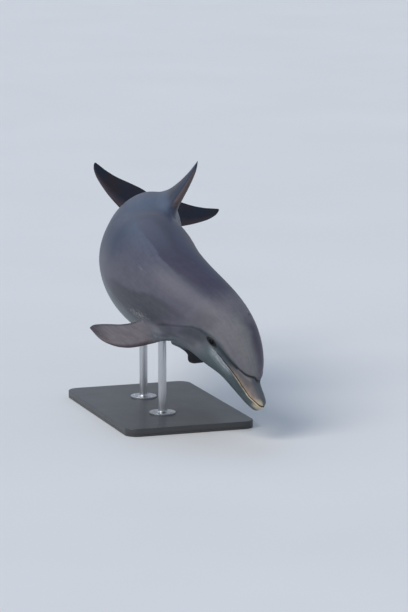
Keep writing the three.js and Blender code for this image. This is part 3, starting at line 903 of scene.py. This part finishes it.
def skin_paint():
    """Each lay names a tint, then how strong it is and where it is. A place is what is measured, then where
    nothing of the tint shows and where all of it does."""
    p = Paint("skin", TINT["flank"])
    place_on = p.where()
    station, degrees, lip, fold, armpit = map(p.read, ("station", "degrees", "lip", "fold", "armpit"))
    dorsal, flipper, reach, chord = map(p.read, ("dorsal", "flipper", "reach", "chord"))
    below_fold, past_crease, side_patch = map(p.read, ("hollow", "beak", "patch"))
    off_lip = p.size(lip)
    grain = p.read("grain", "Vector")
    streak, fibre, glint, wrinkle, scratch = (p.stretched(grain, *kind) for kind in STREAKS.values())
    cloud = p.noise(place_on, 7, 4, 0.6, 0.6)
    mottle = p.noise(place_on, 38, 5, 0.62, 0.4)
    ragged = p.add(p.add(-0.065, cloud, 0.05), streak, 0.08)

    # Trunk: dark rump and tail with a painted blue sky sheen on the rump, paler blaze behind the eye, melon,
    # streaked patch, pale underside partly in painted shade, cape with painted shade along the ridge.
    # Darker rear trunk, its blue partly a painted sky sheen; over the hump's top a bluer painted sky sheen.
    p.lay("rump", (station, 0.70, 1.10))
    p.lay("rump_top", 0.8, (station, 1.12, 1.45), (station, 2.0, 1.7), (degrees, 95, 35))
    p.lay("tail", 0.85, (station, 1.38, 1.75))
    p.lay("blaze", 0.35, (cloud, 0.35, 0.75))
    p.lay("blaze", 0.7, (side_patch, -0.16, -0.03), (station, 0.40, 0.55), (station, 1.5, 0.9))
    head = p.step(p.add(station, ragged, 0.8), 0.52, 0.40)
    p.lay("melon", head)
    p.lay("melon_pale", (cloud, 0.30, 0.60, 0.45, 0.90), (degrees, 18, 34), (degrees, 70, 54),
          (station, 0.40, 0.33))
    p.lay("temple", 0.55, (degrees, 52, 70), (degrees, 96, 88), (station, 0.355, 0.400),
          (station, 0.490, 0.440))
    off_fold = p.add(0.28, p.step(fold, 0.0, 0.045), 0.65)
    patch = p.share((p.add(side_patch, ragged, 0.5), -0.008, 0.012), (station, 0.34, 0.47),
                    (station, 1.02, 0.86), p.calc("MAXIMUM", off_fold, p.step(station, 0.48, 0.42)),
                    (station, 0.48, 0.64, 0.50, 1.0))
    p.lay("patch", patch)
    # Pale underside, darkened and tinted teal: partly its own pale colour, partly painted shade and a painted
    # reflection of water.
    off_head = p.calc("SUBTRACT", 1.0, p.share(head, 0.4))
    p.lay("under", off_head, (p.add(p.read("under"), ragged, 1.4), -0.045, 0.05))
    edge = [p.step(station, 0.50, 0.72, *ends) for ends in ((-0.026, -0.004), (0.028, 0.005))]
    unfaded = p.calc("SUBTRACT", 1.0, p.share(head, (station, 0.30, 0.36, 0.15, 0.80)))
    dark = p.mix(p.step(station, 0.62, 0.80), TINT["cape"], TINT["cape_rear"])
    # Painted shade, tinted blue as by the sky, along the back's ridge behind the head.
    dark = p.mix(p.share((degrees, 22, 6), (station, 0.40, 0.60)), dark, TINT["ridge_shade"])
    p.lay(dark, unfaded, (p.add(p.read("cape"), ragged, 0.35), *edge), (station, 1.30, 1.02, 0.15, 1.0))

    # Neck: painted shade in the hollow below the fold that runs from the flipper to the eye and down onto the
    # throat, and painted shade in the patch's colour round the flipper's root.
    p.lay("neck", 0.80, (below_fold, -0.006, 0.010), (below_fold, 0.064, 0.026), (station, 0.325, 0.380),
          (station, 0.505, 0.455))
    p.lay("neck", 0.50, (below_fold, 0.015, 0.040), (below_fold, 0.115, 0.080), (station, 0.37, 0.40),
          (station, 0.47, 0.43))
    # Painted shade round the flipper's root, in the patch's colour.
    p.lay("patch", 0.60, (station, 0.505, 0.550), (station, 0.665, 0.630), (degrees, 107, 113),
          (degrees, 131, 123))

    # Jaw in painted shade tinted teal, with a painted sheen and glints behind the mouth; beak with its ledge,
    # a worn tip and pale lips, both partly painted golden highlight; dark stripe through the eye; painted
    # shade in the crease.
    # Painted shade on the jaw below the lips, tinted teal as by a painted reflection of water.
    p.lay("jaw", (lip, 0.002, -0.006), (station, 0.40, 0.30))
    # Painted sheen and painted wet glints along the jaw behind the mouth.
    p.lay("jaw_pale", (streak, 0.20, 0.75, 0.35, 0.85), (lip, 0.004, -0.003), (lip, -0.050, -0.014),
          (station, 0.17, 0.23), (station, 0.375, 0.310))
    p.lay("jaw_streak", 0.9, (glint, 0.50, 0.64), (lip, 0.006, -0.001), (lip, -0.030, -0.012),
          (station, 0.16, 0.21), (station, 0.335, 0.295))
    beak = p.share((past_crease, -0.002, 0.006), (station, 0.26, 0.20))
    upper = p.share(beak, (lip, -0.002, 0.002))
    p.lay("beak_top", upper)
    # Beak's side: its own brownish tint, turning to painted golden glints near the lip.
    tan = p.mix(p.step(p.add(glint, lip, -14.0), 0.22, 0.50), TINT["beak_side"], TINT["beak_tan_glint"])
    p.lay(tan, upper, (p.add(degrees, cloud, 26), 52, 78), (station, 0.22, 0.08, 0.25, 1.0))
    p.lay("ledge", 0.65, beak, (past_crease, 0.004, 0.010), (past_crease, 0.026, 0.014), (degrees, 45, 62),
          (lip, 0.004, 0.010))
    # Painted shade on the lower beak, tinted teal.
    p.lay("lower_beak", 0.8, (lip, -0.003, -0.012), (station, 0.22, 0.12))
    # Pale tip of the beak: partly worn and partly a painted golden highlight.
    p.lay("tip", 0.75, (p.add(station, mottle, 0.05), 0.072, 0.034), (degrees, 20, 50),
          (off_lip, 0.034, 0.012))
    # Pale margin of the lower lip: partly its own colour and partly a painted golden highlight.
    p.lay("lip", (mottle, 0.35, 0.62, 0.40, 1.0), (lip, -0.0072, -0.0035), (lip, 0.0, -0.0016),
          (station, 0.23, 0.13))
    uneven = p.add(p.read("stripe"), p.calc("SUBTRACT", streak, 0.5), 0.35)
    p.lay("stripe", (uneven, 0.35, 0.95), (station, 0.56, 0.40, 0.25, 0.92))
    p.lay("stripe", 0.42, (lip, 0.001, 0.005), (lip, 0.036, 0.020), (station, 0.175, 0.225),
          (station, 0.350, 0.325))
    p.lay("lid", 0.95, (p.read("lids"), 1.35, 0.85))
    # Painted shade in the crease between beak and melon.
    p.lay("groove", 0.75, (p.read("crease"), 0.009, 0.0015), (degrees, 92, 80))

    # Fins, with worn edges.
    p.lay("fin", (dorsal, 0.0, 0.5))
    p.lay("fin_edge", 0.55, (chord, 0.07, 0.015), (p.add(dorsal, mottle, 0.8), 0.5, 1.1))
    on_flipper = p.step(flipper, 0.1, 0.9)
    p.lay("flipper", on_flipper)
    # Painted shade on each flipper's underside.
    p.lay("shaded_face", on_flipper, p.read("shaded_face"))
    rims = p.calc("MAXIMUM", p.step(chord, 0.13, 0.02), p.step(chord, 0.90, 0.99))
    p.lay("flipper_tip", 0.85, on_flipper, p.calc("MAXIMUM", p.step(reach, 0.72, 1.0), rims))
    fluke = p.step(p.add(p.read("fluke"), ragged, 3.0), 0.15, 0.75)
    p.lay("fluke", fluke)
    p.lay("fluke_brown", fluke, (cloud, 0.42, 0.66))
    p.lay("fluke_edge", 0.75, fluke, (reach, 0.05, 0.30), (p.add(chord, ragged, 1.6), 0.40, 0.02))

    # Wrinkled armpit with painted shade and painted wet glints; painted shade along the fold and in the gap
    # between the lips.
    # Painted shade over the armpit, then painted wet glints along its wrinkles.
    p.lay("patch", 0.55, (armpit, 0.2, 0.7))
    p.lay("armpit", 0.75, (p.add(armpit, wrinkle, 2.4), 1.90, 2.50))
    # Painted shade along the fold and in the gap between the lips.
    p.lay("groove", 0.30, (fold, 0.010, 0.001), (station, 0.45, 0.58))
    p.lay("groove", (off_lip, 0.0024, 0.0009), (station, 0.304, 0.285))

    # Mottling, streaks along the body and a few old scratches.
    streaks = p.add(p.add(0.83, patch, -0.17), streak, p.add(0.34, patch, 0.34))
    shade = p.share(p.add(0.77, mottle, 0.46), streaks, p.add(0.95, fibre, 0.10))
    grey = p.node("CombineColor", 0, {0: shade, 1: shade, 2: shade})
    p.colour = p.mix(1.0, p.colour, grey, "MULTIPLY")
    off_scratch = p.size(p.calc("SUBTRACT", scratch, 0.5))
    p.lay("scratch", 0.22, (off_scratch, 0.007, 0.0), (p.noise(place_on, 5.3, 2), 0.56, 0.66))

    p.set(Base_Color=p.colour, Roughness=p.add(p.add(0.32, streak, 0.10), mottle, 0.16))
    p.set(Specular_IOR_Level=0.22, Coat_Weight=0.07, Coat_Roughness=0.25)
    p.bump(p.add(p.add(p.noise(place_on, 160, 4, 0.6), streak, 0.5), fibre, 0.35), 0.35, 0.0006)
    return p.made


# ---- paints of the eyes, the stand and the floor

IRIS_RAYS = 9           # about so many waves round the iris
PUPIL = {"long": 0.34, "tall": 0.19, "lifted": 0.07, "lid": 0.13}     # shares of the ball's radius


def eye_fields(piece, side):
    """Where each point of the ball looks: forward, upward and outward shares, and degrees off its axis."""
    x, y, z = eye_place(coordinates(piece), side)
    field(piece, "off", np.degrees(np.arctan2(np.hypot(x, y), z)))
    field(piece, "gaze", np.stack([x, y, z], axis=1) / EYE["radius"])


def eye_paint():
    """Dark brown iris with fine rays, a level oval pupil under its lid of iris, and a smoky white."""
    p = Paint("eye")
    gaze, off = p.read("gaze", "Vector"), p.read("off")
    x, y = (p.node("SeparateXYZ", output, {0: gaze}) for output in (0, 1))
    turned = p.calc("ARCTAN2", y, x)
    round_it = [p.calc("MULTIPLY", p.calc(wave, turned), IRIS_RAYS) for wave in ("SINE", "COSINE")]
    spokes = p.node("CombineXYZ", 0, {0: round_it[0], 1: round_it[1], 2: p.calc("MULTIPLY", off, 0.05)})
    rays = p.noise(spokes, 2.2, 4, 0.7, 0.3)
    white = p.mix(p.noise(gaze, 9, 4), (0.016, 0.014, 0.014), (0.040, 0.036, 0.034))
    p.colour = p.mix(rays, (0.002, 0.002, 0.002), (0.012, 0.008, 0.006))
    p.lay((0.008, 0.007, 0.007), (off, 33, 40))
    p.lay(white, (off, 41, 52))
    lid = p.share((p.size(x), 0.22, 0.0), PUPIL["lid"], (y, -0.1, 0.1))
    tall = p.calc("DIVIDE", p.calc("ADD", p.calc("ADD", y, PUPIL["lifted"]), lid), PUPIL["tall"])
    squares = [p.calc("POWER", p.size(side), 2.0) for side in (p.calc("DIVIDE", x, PUPIL["long"]), tall)]
    p.lay((0.003, 0.004, 0.006), (p.calc("ADD", *squares), 1.15, 0.85))
    p.set(Base_Color=p.colour, Roughness=p.add(0.05, rays, 0.06), Specular_IOR_Level=0.05)
    p.set(Coat_Weight=0.04, Coat_Roughness=0.02)
    return p.made


def base_paint():
    """Satin charcoal paint: fine orange peel and faint smudges."""
    p = Paint("stand_base")
    place_on = p.where()
    smudge, peel = p.noise(place_on, 5, 5, 0.6, 0.8), p.noise(place_on, 900, 2, 0.5)
    colour = p.mix(smudge, (0.040, 0.042, 0.046), (0.062, 0.064, 0.068))
    p.set(Base_Color=colour, Roughness=p.add(0.34, smudge, 0.22), Coat_Weight=0.1)
    p.bump(peel, 0.25, 0.0003)
    return p.made


def steel_paint(name, by):
    """Brushed steel: fine lines drawn out along the way it was turned or drawn."""
    p = Paint(name)
    place_on = p.where()
    brush = p.stretched(place_on, by, 1, 3, 0.7)
    colour = p.mix(brush, (0.46, 0.47, 0.49), (0.66, 0.67, 0.69))
    rough = p.add(p.add(0.16, p.noise(place_on, 14, 3), 0.12), brush, 0.20)
    p.set(Base_Color=colour, Roughness=rough, Metallic=1.0)
    p.bump(brush, 0.15, 0.0002)
    return p.made


def floor_paint():
    p = Paint("floor")
    cloud = p.noise(p.where(), 0.8, 4, 0.5)
    colour = p.mix(cloud, (0.715, 0.705, 0.69), (0.765, 0.755, 0.74))
    p.set(Base_Color=colour, Roughness=p.add(0.55, cloud, 0.2), Specular_IOR_Level=0.3)
    return p.made


# ---- making the skin

LINES = {"lip": lip_points(), "crease": crease_points(), "fold": fold_points()}
FINER = [   # how near to a line or a place the faces are cut finer, level by level
    {"lip": 0.009, "crease": 0.010, "eye": 0.044, "nostril": 0.034, "fold": 0.022, "armpit": 0.075},
    {"lip": 0.005, "crease": 0.0055, "eye": 0.034, "nostril": 0.028, "fold": 0.010, "armpit": 0.06},
    {"lip": 0.0018, "eye": 0.022, "slit": 0.005},
]
# Relief across a line: how far off it, depth (below 0 is a swelling) and width, in millimetres.
LIPS = [(0, 4.2, 1.5), (0, 1.2, 4.5), (-5.5, -1.9, 3.4), (5, -1.0, 3.2)]
CREASE_DEEP = [(0, 4.5, 3.2), (0, 2.0, 10), (16, -3.0, 11)]
CREASE_FAINT = [(0, 1.2, 5)]
NOSTRIL_SLIT = [(0, 5.0, 1.5), (0, 1.0, 5), (6, -1.8, 4.0)]
NOSTRIL_MOUND = [(0, -1.6, 8), (0, 1.2, 34)]
FOLD_DEEP, FOLD_FAINT = [(0, 2.4, 7.0)], [(0, 1.2, 9)]
EAR = {"station": 0.394, "degrees": 95, "girth": 0.13, "relief": [(0, 2.2, 1.8), (0, 0.5, 6)]}
NAVEL = {"station": 1.12, "relief": [(0, 3.0, 9)]}
BELLY_SLIT = {"start": 1.50, "end": 1.64, "fades": 0.02, "relief": [(0, 3.0, 4)]}
BELLY_GIRTH = 0.18
WRINKLE = {"height": 1.6 * MM, "step": 0.0022, "aft": 0.045, "long": 0.05, "tall": 0.022}
FINE_ARMPIT = {"aft": 0.03, "metres_a_degree": 0.0035, "outside": 0.01}
# Where relief comes in or goes out, in degrees for the crease and by station for the others.
FADES = {"crease": (66, 84), "crease_side": (0.22, 0.31), "fold": (0.45, 0.60), "fold_above": (0.46, 0.58),
         "jaw": (0.0, 0.05), "mouth": (MOUTH_CORNER - 0.02, MOUTH_CORNER + 0.004)}
CREASE_LOWEST, NOSTRIL_END, BODY_SKIN = -0.01, 0.45, 0.02       # relief only above, before and within these
# Folds round the eye: how far out and how wide in half openings, and their rise in millimetres.
LID_FOLDS = [(1.85, 0.17, -1.3), (2.3, 0.3, 0.9), (2.8, 0.22, -0.7)]
LID = {"over_ball": 1.3 * MM, "deepest": -1.2 * MM, "under_ball": -9 * MM, "corners": 1.7, "starts": 1.05,
       "fades": 0.95, "rim": (1.3, 0.25, 0.6), "open": (0.84, 1.06), "lower_folds": 0.7, "reach": 0.05}
JAW_AHEAD = 5 * MM      # how far the lower jaw's tip stands out past the upper one's


def dents(distance, table):
    return sum(-depth * MM * bump(distance - offset * MM, width * MM) for offset, depth, width in table)


def finer_faces(skin):
    """Finer faces where the skin has fine relief, in three steps."""
    for limits in FINER:
        points = Points(skin)
        _, ring, top = blowhole_place(points)
        ring = np.where(top & (points.station < HEAD_END), ring, 1)
        across = (points.degrees - AXILLA["degrees"]) * FINE_ARMPIT["metres_a_degree"]
        armpit = np.hypot(points.station - AXILLA["station"] - FINE_ARMPIT["aft"], across)
        near = {name: distance_to(points.co, line) for name, line in LINES.items()}
        near["armpit"] = np.where(points.outside < FINE_ARMPIT["outside"], armpit, 1)
        near["nostril"] = ring
        near["slit"] = np.abs(ring - BLOWHOLE_ARC["radius"])
        near["eye"] = np.minimum(*[lengths(points.co - EYES[side][0])[:, 0] for side in EYES])
        refine(skin, np.any([near[key] < limit for key, limit in limits.items()], axis=0))


def mouth_relief(points, lip):
    """A groove between two rounded lips, the lower one proud, up to the corner of the mouth."""
    off = lip * np.sign(points.height - lip_line(points.station))
    return dents(off, LIPS) * fade(points.station, *FADES["mouth"])


def crease_relief(points, crease):
    """The crease between beak and melon, deep above the beak and faint at its sides."""
    off = crease * np.sign(points.station - crease_station(points.degrees))
    deep = fade(points.degrees, *FADES["crease"])
    faint = fade(points.station, *FADES["crease_side"]) * (points.height > CREASE_LOWEST) * (1 - deep)
    return dents(off, CREASE_DEEP) * deep + dents(off, CREASE_FAINT) * faint


def blowhole_relief(points):
    turned, ring, top = blowhole_place(points)
    ends = fade(np.abs(turned), BLOWHOLE_ARC["reach"] - 0.25, BLOWHOLE_ARC["reach"] + 0.15)
    relief = dents(ring - BLOWHOLE_ARC["radius"], NOSTRIL_SLIT) * ends + dents(ring, NOSTRIL_MOUND)
    return np.where(top & (points.station < NOSTRIL_END), relief, 0)


def body_relief(points, fold):
    """Folds at the flipper's root, wrinkles in the armpit, the ear's pinhole, navel and slit."""
    station = points.station
    fold_above = distance_to(points.co, fold_points(FOLD_ABOVE))
    relief = dents(fold, FOLD_DEEP) * smooth_step(station, *FADES["fold"])
    relief += dents(fold_above, FOLD_FAINT) * smooth_step(station, *FADES["fold_above"])
    aft, across = armpit_place(points)
    wrinkled = bump(across, WRINKLE["tall"]) * bump(aft - WRINKLE["aft"], WRINKLE["long"])
    relief += WRINKLE["height"] * np.sin(across / WRINKLE["step"]) * wrinkled
    from_ear = (points.degrees - EAR["degrees"]) * np.radians(1) * EAR["girth"]
    relief += dents(np.hypot(station - EAR["station"], from_ear), EAR["relief"])
    under = (180 - points.degrees) * np.radians(1) * BELLY_GIRTH
    relief += dents(np.hypot(station - NAVEL["station"], under), NAVEL["relief"])
    start, end, fades = BELLY_SLIT["start"], BELLY_SLIT["end"], BELLY_SLIT["fades"]
    lasting = smooth_step(station, start, start + fades) * fade(station, end - fades, end)
    return relief + dents(under, BELLY_SLIT["relief"]) * lasting


def eye_relief(co, side):
    """How far the lids rise over the eyeball and their folds round it, along the eye's axis."""
    x, y, z = eye_place(co, side)
    power = LID["corners"]
    reach = sum(np.abs(at / half) ** power for at, half in zip((x, y), EYE_OPENING)) ** (1 / power)
    ball = np.sqrt(np.maximum(EYE["radius"] ** 2 - x ** 2 - y ** 2, 0)) - z
    margin = np.maximum(ball + LID["over_ball"], LID["deepest"])
    at, width, height = LID["rim"]
    rise = margin * bump(np.maximum(reach - LID["starts"], 0), LID["fades"])
    rise += height * MM * bump(reach - at, width)
    upper = np.where(y > 0, 1.0, LID["lower_folds"])
    rise += sum(height * MM * upper * bump(reach - at, width) for at, width, height in LID_FOLDS)
    outside = smooth_step(reach, *LID["open"])
    rise = rise * outside + (1 - outside) * LID["under_ball"]
    return np.where((np.hypot(x, y) < LID["reach"]) & (z > 0), rise, 0)


def make_skin():
    """The whole skin with its relief and everything that its paint reads."""
    skin, fin_trees = build_skin()
    fillet(skin, fin_trees)
    finer_faces(skin)
    points = Points(skin)
    lip, crease, fold = (distance_to(points.co, line) for line in LINES.values())
    relief = mouth_relief(points, lip) + crease_relief(points, crease)
    relief += blowhole_relief(points) + body_relief(points, fold)
    relief = np.where(points.outside < BODY_SKIN, relief, 0)
    shape = points.co + normals(skin) * relief[:, None]
    for side, (_, _, _, out) in EYES.items():
        shape += eye_relief(points.co, side)[:, None] * out
    jaw = (points.height < lip_line(points.station)) * fade(points.station, *FADES["jaw"])
    shape += frames_at(points.station)[1] * (jaw * JAW_AHEAD)[:, None]
    set_coordinates(skin, shape)
    smooth_faces(skin)
    skin_fields(skin, points, (lip, crease, fold))
    return skin


def smooth_faces(obj, angle=None):
    """Smooth shading, but for edges sharper than an angle in degrees if one is given."""
    for polygon in obj.data.polygons:
        polygon.use_smooth = True
    if angle:
        obj.data.set_sharp_from_angle(angle=math.radians(angle))


skin = make_skin()
skin.data.materials.append(skin_paint())
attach(skin, "root")
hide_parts(*FLESH_NODES)


# ---- round pieces and the eyes

AXLE = 0.001            # radius of the first and last ring of a turned piece that starts and ends flat
SHARP = 40              # degrees between faces that keep a sharp edge
CORNEA = {"proud": 0.0012, "degrees": 24, "gap": 0.0004}
BALL_RINGS = [(1, 60, 48), (63, 179, 40)]       # degrees off the eye's axis: from, to, and how many rings


def lathe(name, profile, centre, across=X, aside=Y, axis=Z, sides=64):
    """A turned piece: rings of radius and height about an axis."""
    turns = np.arange(sides) * 2 * math.pi / sides
    around_it = np.cos(turns)[:, None] * across + np.sin(turns)[:, None] * aside
    return loft(name, np.array([centre + radius * around_it + height * axis for radius, height in profile]))


def eyeball(name, side):
    """The ball with the clear bulge of the cornea over pupil and iris, as rings about the eye's axis."""
    centre, forward, up, out = EYES[side]
    radius = EYE["radius"] - CORNEA["gap"]
    degrees = np.concatenate([np.linspace(*span) for span in BALL_RINGS])
    radii = radius + CORNEA["proud"] * np.exp(-((degrees / CORNEA["degrees"]) ** 4))
    angles = np.radians(degrees)
    made = lathe(name, zip(radii * np.sin(angles), radii * np.cos(angles)), centre, forward, up, out, 72)
    smooth_faces(made)
    return made


# ---- the stand

RIM = 0.004
CORNER = {"radius": 0.060, "points": 21}
FLAT = 0.02             # width of the flat ring round the middle of the plate's two faces
# The plate's side, from its foot: how far in and how high; a soft rim, and a fine groove run round it.
PLATE_SIDE = [(RIM + FLAT, 0), (0.0025, 0), (0.0008, 0.0010), (0, 0.0030), (0, 0.0095), (0.0006, 0.0100),
              (0.0016, 0.0106), (0.0016, 0.0118), (0.0006, 0.0124), (0, 0.0130)]
ROD_RINGS = 24
SCREW_HEAD = [(0.0052, -0.001), (0.0052, 0.0004), (0.0049, 0.0011), (0.0040, 0.0019), (0.0030, 0.0023)]
SCREW_SOCKET = [(0.0021, 0.0004), (0.0021, 0.0026)]
SCREWS = {"count": 4, "inset": 0.015, "first": 45, "sunk": 0.0002, "turned": 1.3}
FLANGE = {"edge": 0.0012, "foot": 0.0006, "neck_over_rod": 0.0015, "sides": 96}


def node_size(node):
    """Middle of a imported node, half its size, its foot and its top."""
    low, high = (np.array(corner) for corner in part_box(node))
    return (low + high) / 2, (high - low) / 2, low[2], high[2]


def plate_ring(half_x, half_y, corner, z, middle):
    """Outline of a plate with round corners, anticlockwise."""
    quarter = np.linspace(0, math.pi / 2, CORNER["points"])
    ring = []
    for i, (sx, sy) in enumerate([(1, 1), (-1, 1), (-1, -1), (1, -1)]):
        angle = quarter + i * math.pi / 2
        x = sx * (half_x - corner) + corner * np.cos(angle) + middle[0]
        y = sy * (half_y - corner) + corner * np.sin(angle) + middle[1]
        ring.append(np.stack([x, y, np.full(len(x), z)], axis=1))
    return np.concatenate(ring)


def stand_base():
    middle, half, _, top = node_size("stand_base")
    bend = np.linspace(0, math.pi / 2, 7)
    rim = [(RIM * (1 - math.cos(b)), top - RIM + RIM * math.sin(b)) for b in bend]
    rings = [plate_ring(half[0] - inset, half[1] - inset, CORNER["radius"] - inset, z, middle)
             for inset, z in PLATE_SIDE + rim + [(RIM + FLAT, top)]]
    made = loft("stand_plate", np.array(rings))
    smooth_faces(made, SHARP)
    return made


def stand_rod(end):
    """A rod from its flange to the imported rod's top, inside the skin."""
    middle, half, foot, top = node_size("stand_rod_" + end)
    profile = [(AXLE, foot), (half[0], foot)]
    profile += [(half[0], z) for z in np.linspace(foot + 0.001, top, ROD_RINGS)] + [(AXLE, top)]
    made = lathe("rod_" + end, profile, middle * (X + Y))
    smooth_faces(made, SHARP)
    return made


def screw(centre, turned):
    """A countersunk button head with a hexagonal socket."""
    x = X * math.cos(turned) + Y * math.sin(turned)
    y = Y * math.cos(turned) - X * math.sin(turned)
    cap = lathe("cap", SCREW_HEAD, centre, x, y, Z, 24)
    combine(cap, lathe("socket", SCREW_SOCKET, centre, x, y, Z, 6), "DIFFERENCE")
    return cap


def stand_flange(end):
    """The round foot of a rod: a stepped disc with a hollow fillet up to the neck and its screws."""
    middle, half, low, high = node_size("stand_flange_" + end)
    foot = middle * (X + Y) + low * Z
    radius, height = half[0], high - low
    neck = node_size("stand_rod_" + end)[1][0] + FLANGE["neck_over_rod"]
    edge, hollow = FLANGE["edge"], height / 2
    sweep = np.linspace(0, math.pi / 2, 8)
    profile = [(AXLE, 0), (radius - FLANGE["foot"], 0), (radius, FLANGE["foot"])]
    profile += [(radius - edge * (1 - math.cos(b)), hollow - edge * (1 - math.sin(b))) for b in sweep]
    profile += [(neck + hollow - hollow * math.sin(b), height - hollow * math.cos(b)) for b in sweep]
    profile += [(neck, height), (AXLE, height)]
    parts = [lathe("disc", profile, foot, sides=FLANGE["sides"])]
    for i in range(SCREWS["count"]):
        turned = math.radians(SCREWS["first"] + 360 / SCREWS["count"] * i)
        out = (X * math.cos(turned) + Y * math.sin(turned)) * (radius - SCREWS["inset"])
        parts.append(screw(foot + out + Z * (hollow - SCREWS["sunk"]), turned * SCREWS["turned"]))
    made = join("flange_" + end, parts)
    smooth_faces(made, SHARP)
    return made


def join(name, parts):
    """One object from several."""
    work = bmesh.new()
    for part in parts:
        work.from_mesh(part.data)
        bpy.data.objects.remove(part)
    mesh = bpy.data.meshes.new(name)
    work.to_mesh(mesh)
    work.free()
    return to_scene(name, mesh)


def dress(piece, node, paint):
    piece.data.materials.append(paint)
    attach(piece, "root")
    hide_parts(node)


eye_look, base_look = eye_paint(), base_paint()
drawn_look = steel_paint("steel_drawn", (420, 420, 5))
turned_look = steel_paint("steel_turned", (60, 60, 60))
for side_name, side in (("left", 1), ("right", -1)):
    ball = eyeball("eyeball_" + side_name, side)
    eye_fields(ball, side)
    dress(ball, "eye_" + side_name, eye_look)
dress(stand_base(), "stand_base", base_look)
for end in ("front", "rear"):
    dress(stand_rod(end), "stand_rod_" + end, drawn_look)
    dress(stand_flange(end), "stand_flange_" + end, turned_look)


# ---- floor and light

FLOOR_HALF = 150
SUN_DISTANCE = 6
SKY = {"low": (0.80, 0.815, 0.83), "high": (0.44, 0.58, 0.82), "full": 0.9, "strength": 0.62}
SUNS = {  # azimuth, elevation, spread in degrees, power, colour
    "key": (20, 48, 35, 1.7, (1, 0.965, 0.91)),
    "back": (275, 48, 40, 0.52, (0.62, 0.78, 1)),
}


def make_floor():
    corners = [(FLOOR_HALF * x, FLOOR_HALF * y, 0) for x, y in ((-1, -1), (1, -1), (1, 1), (-1, 1))]
    floor = new_object("floor", corners, [(0, 1, 2, 3)])
    floor.data.materials.append(floor_paint())


def soft_sun(name, azimuth, elevation, spread, power, colour):
    """A far, broad lamp: azimuth and elevation are where its light comes from, as for the camera."""
    data = bpy.data.lights.new(name, "SUN")
    data.angle = math.radians(spread)
    data.energy = power
    data.color = colour
    lamp = to_scene(name, data)
    source = towards(azimuth, elevation)
    lamp.rotation_euler = source.to_track_quat("Z", "Y").to_euler()
    lamp.location = source * SUN_DISTANCE


def make_world():
    """Even studio surroundings, a little cooler overhead."""
    p = Paint("world", kind="worlds", shader="Background")
    height = p.node("SeparateXYZ", "Z", {0: p.node("TexCoord", "Generated")})
    overhead = p.calc("DIVIDE", height, SKY["full"], clamp=True)
    p.set(Color=p.mix(overhead, SKY["low"], SKY["high"]), Strength=SKY["strength"])
    bpy.context.scene.world = p.made


make_floor()
make_world()
for name, sun in SUNS.items():
    soft_sun(name, *sun)
bpy.context.scene.view_settings.view_transform = "Standard"
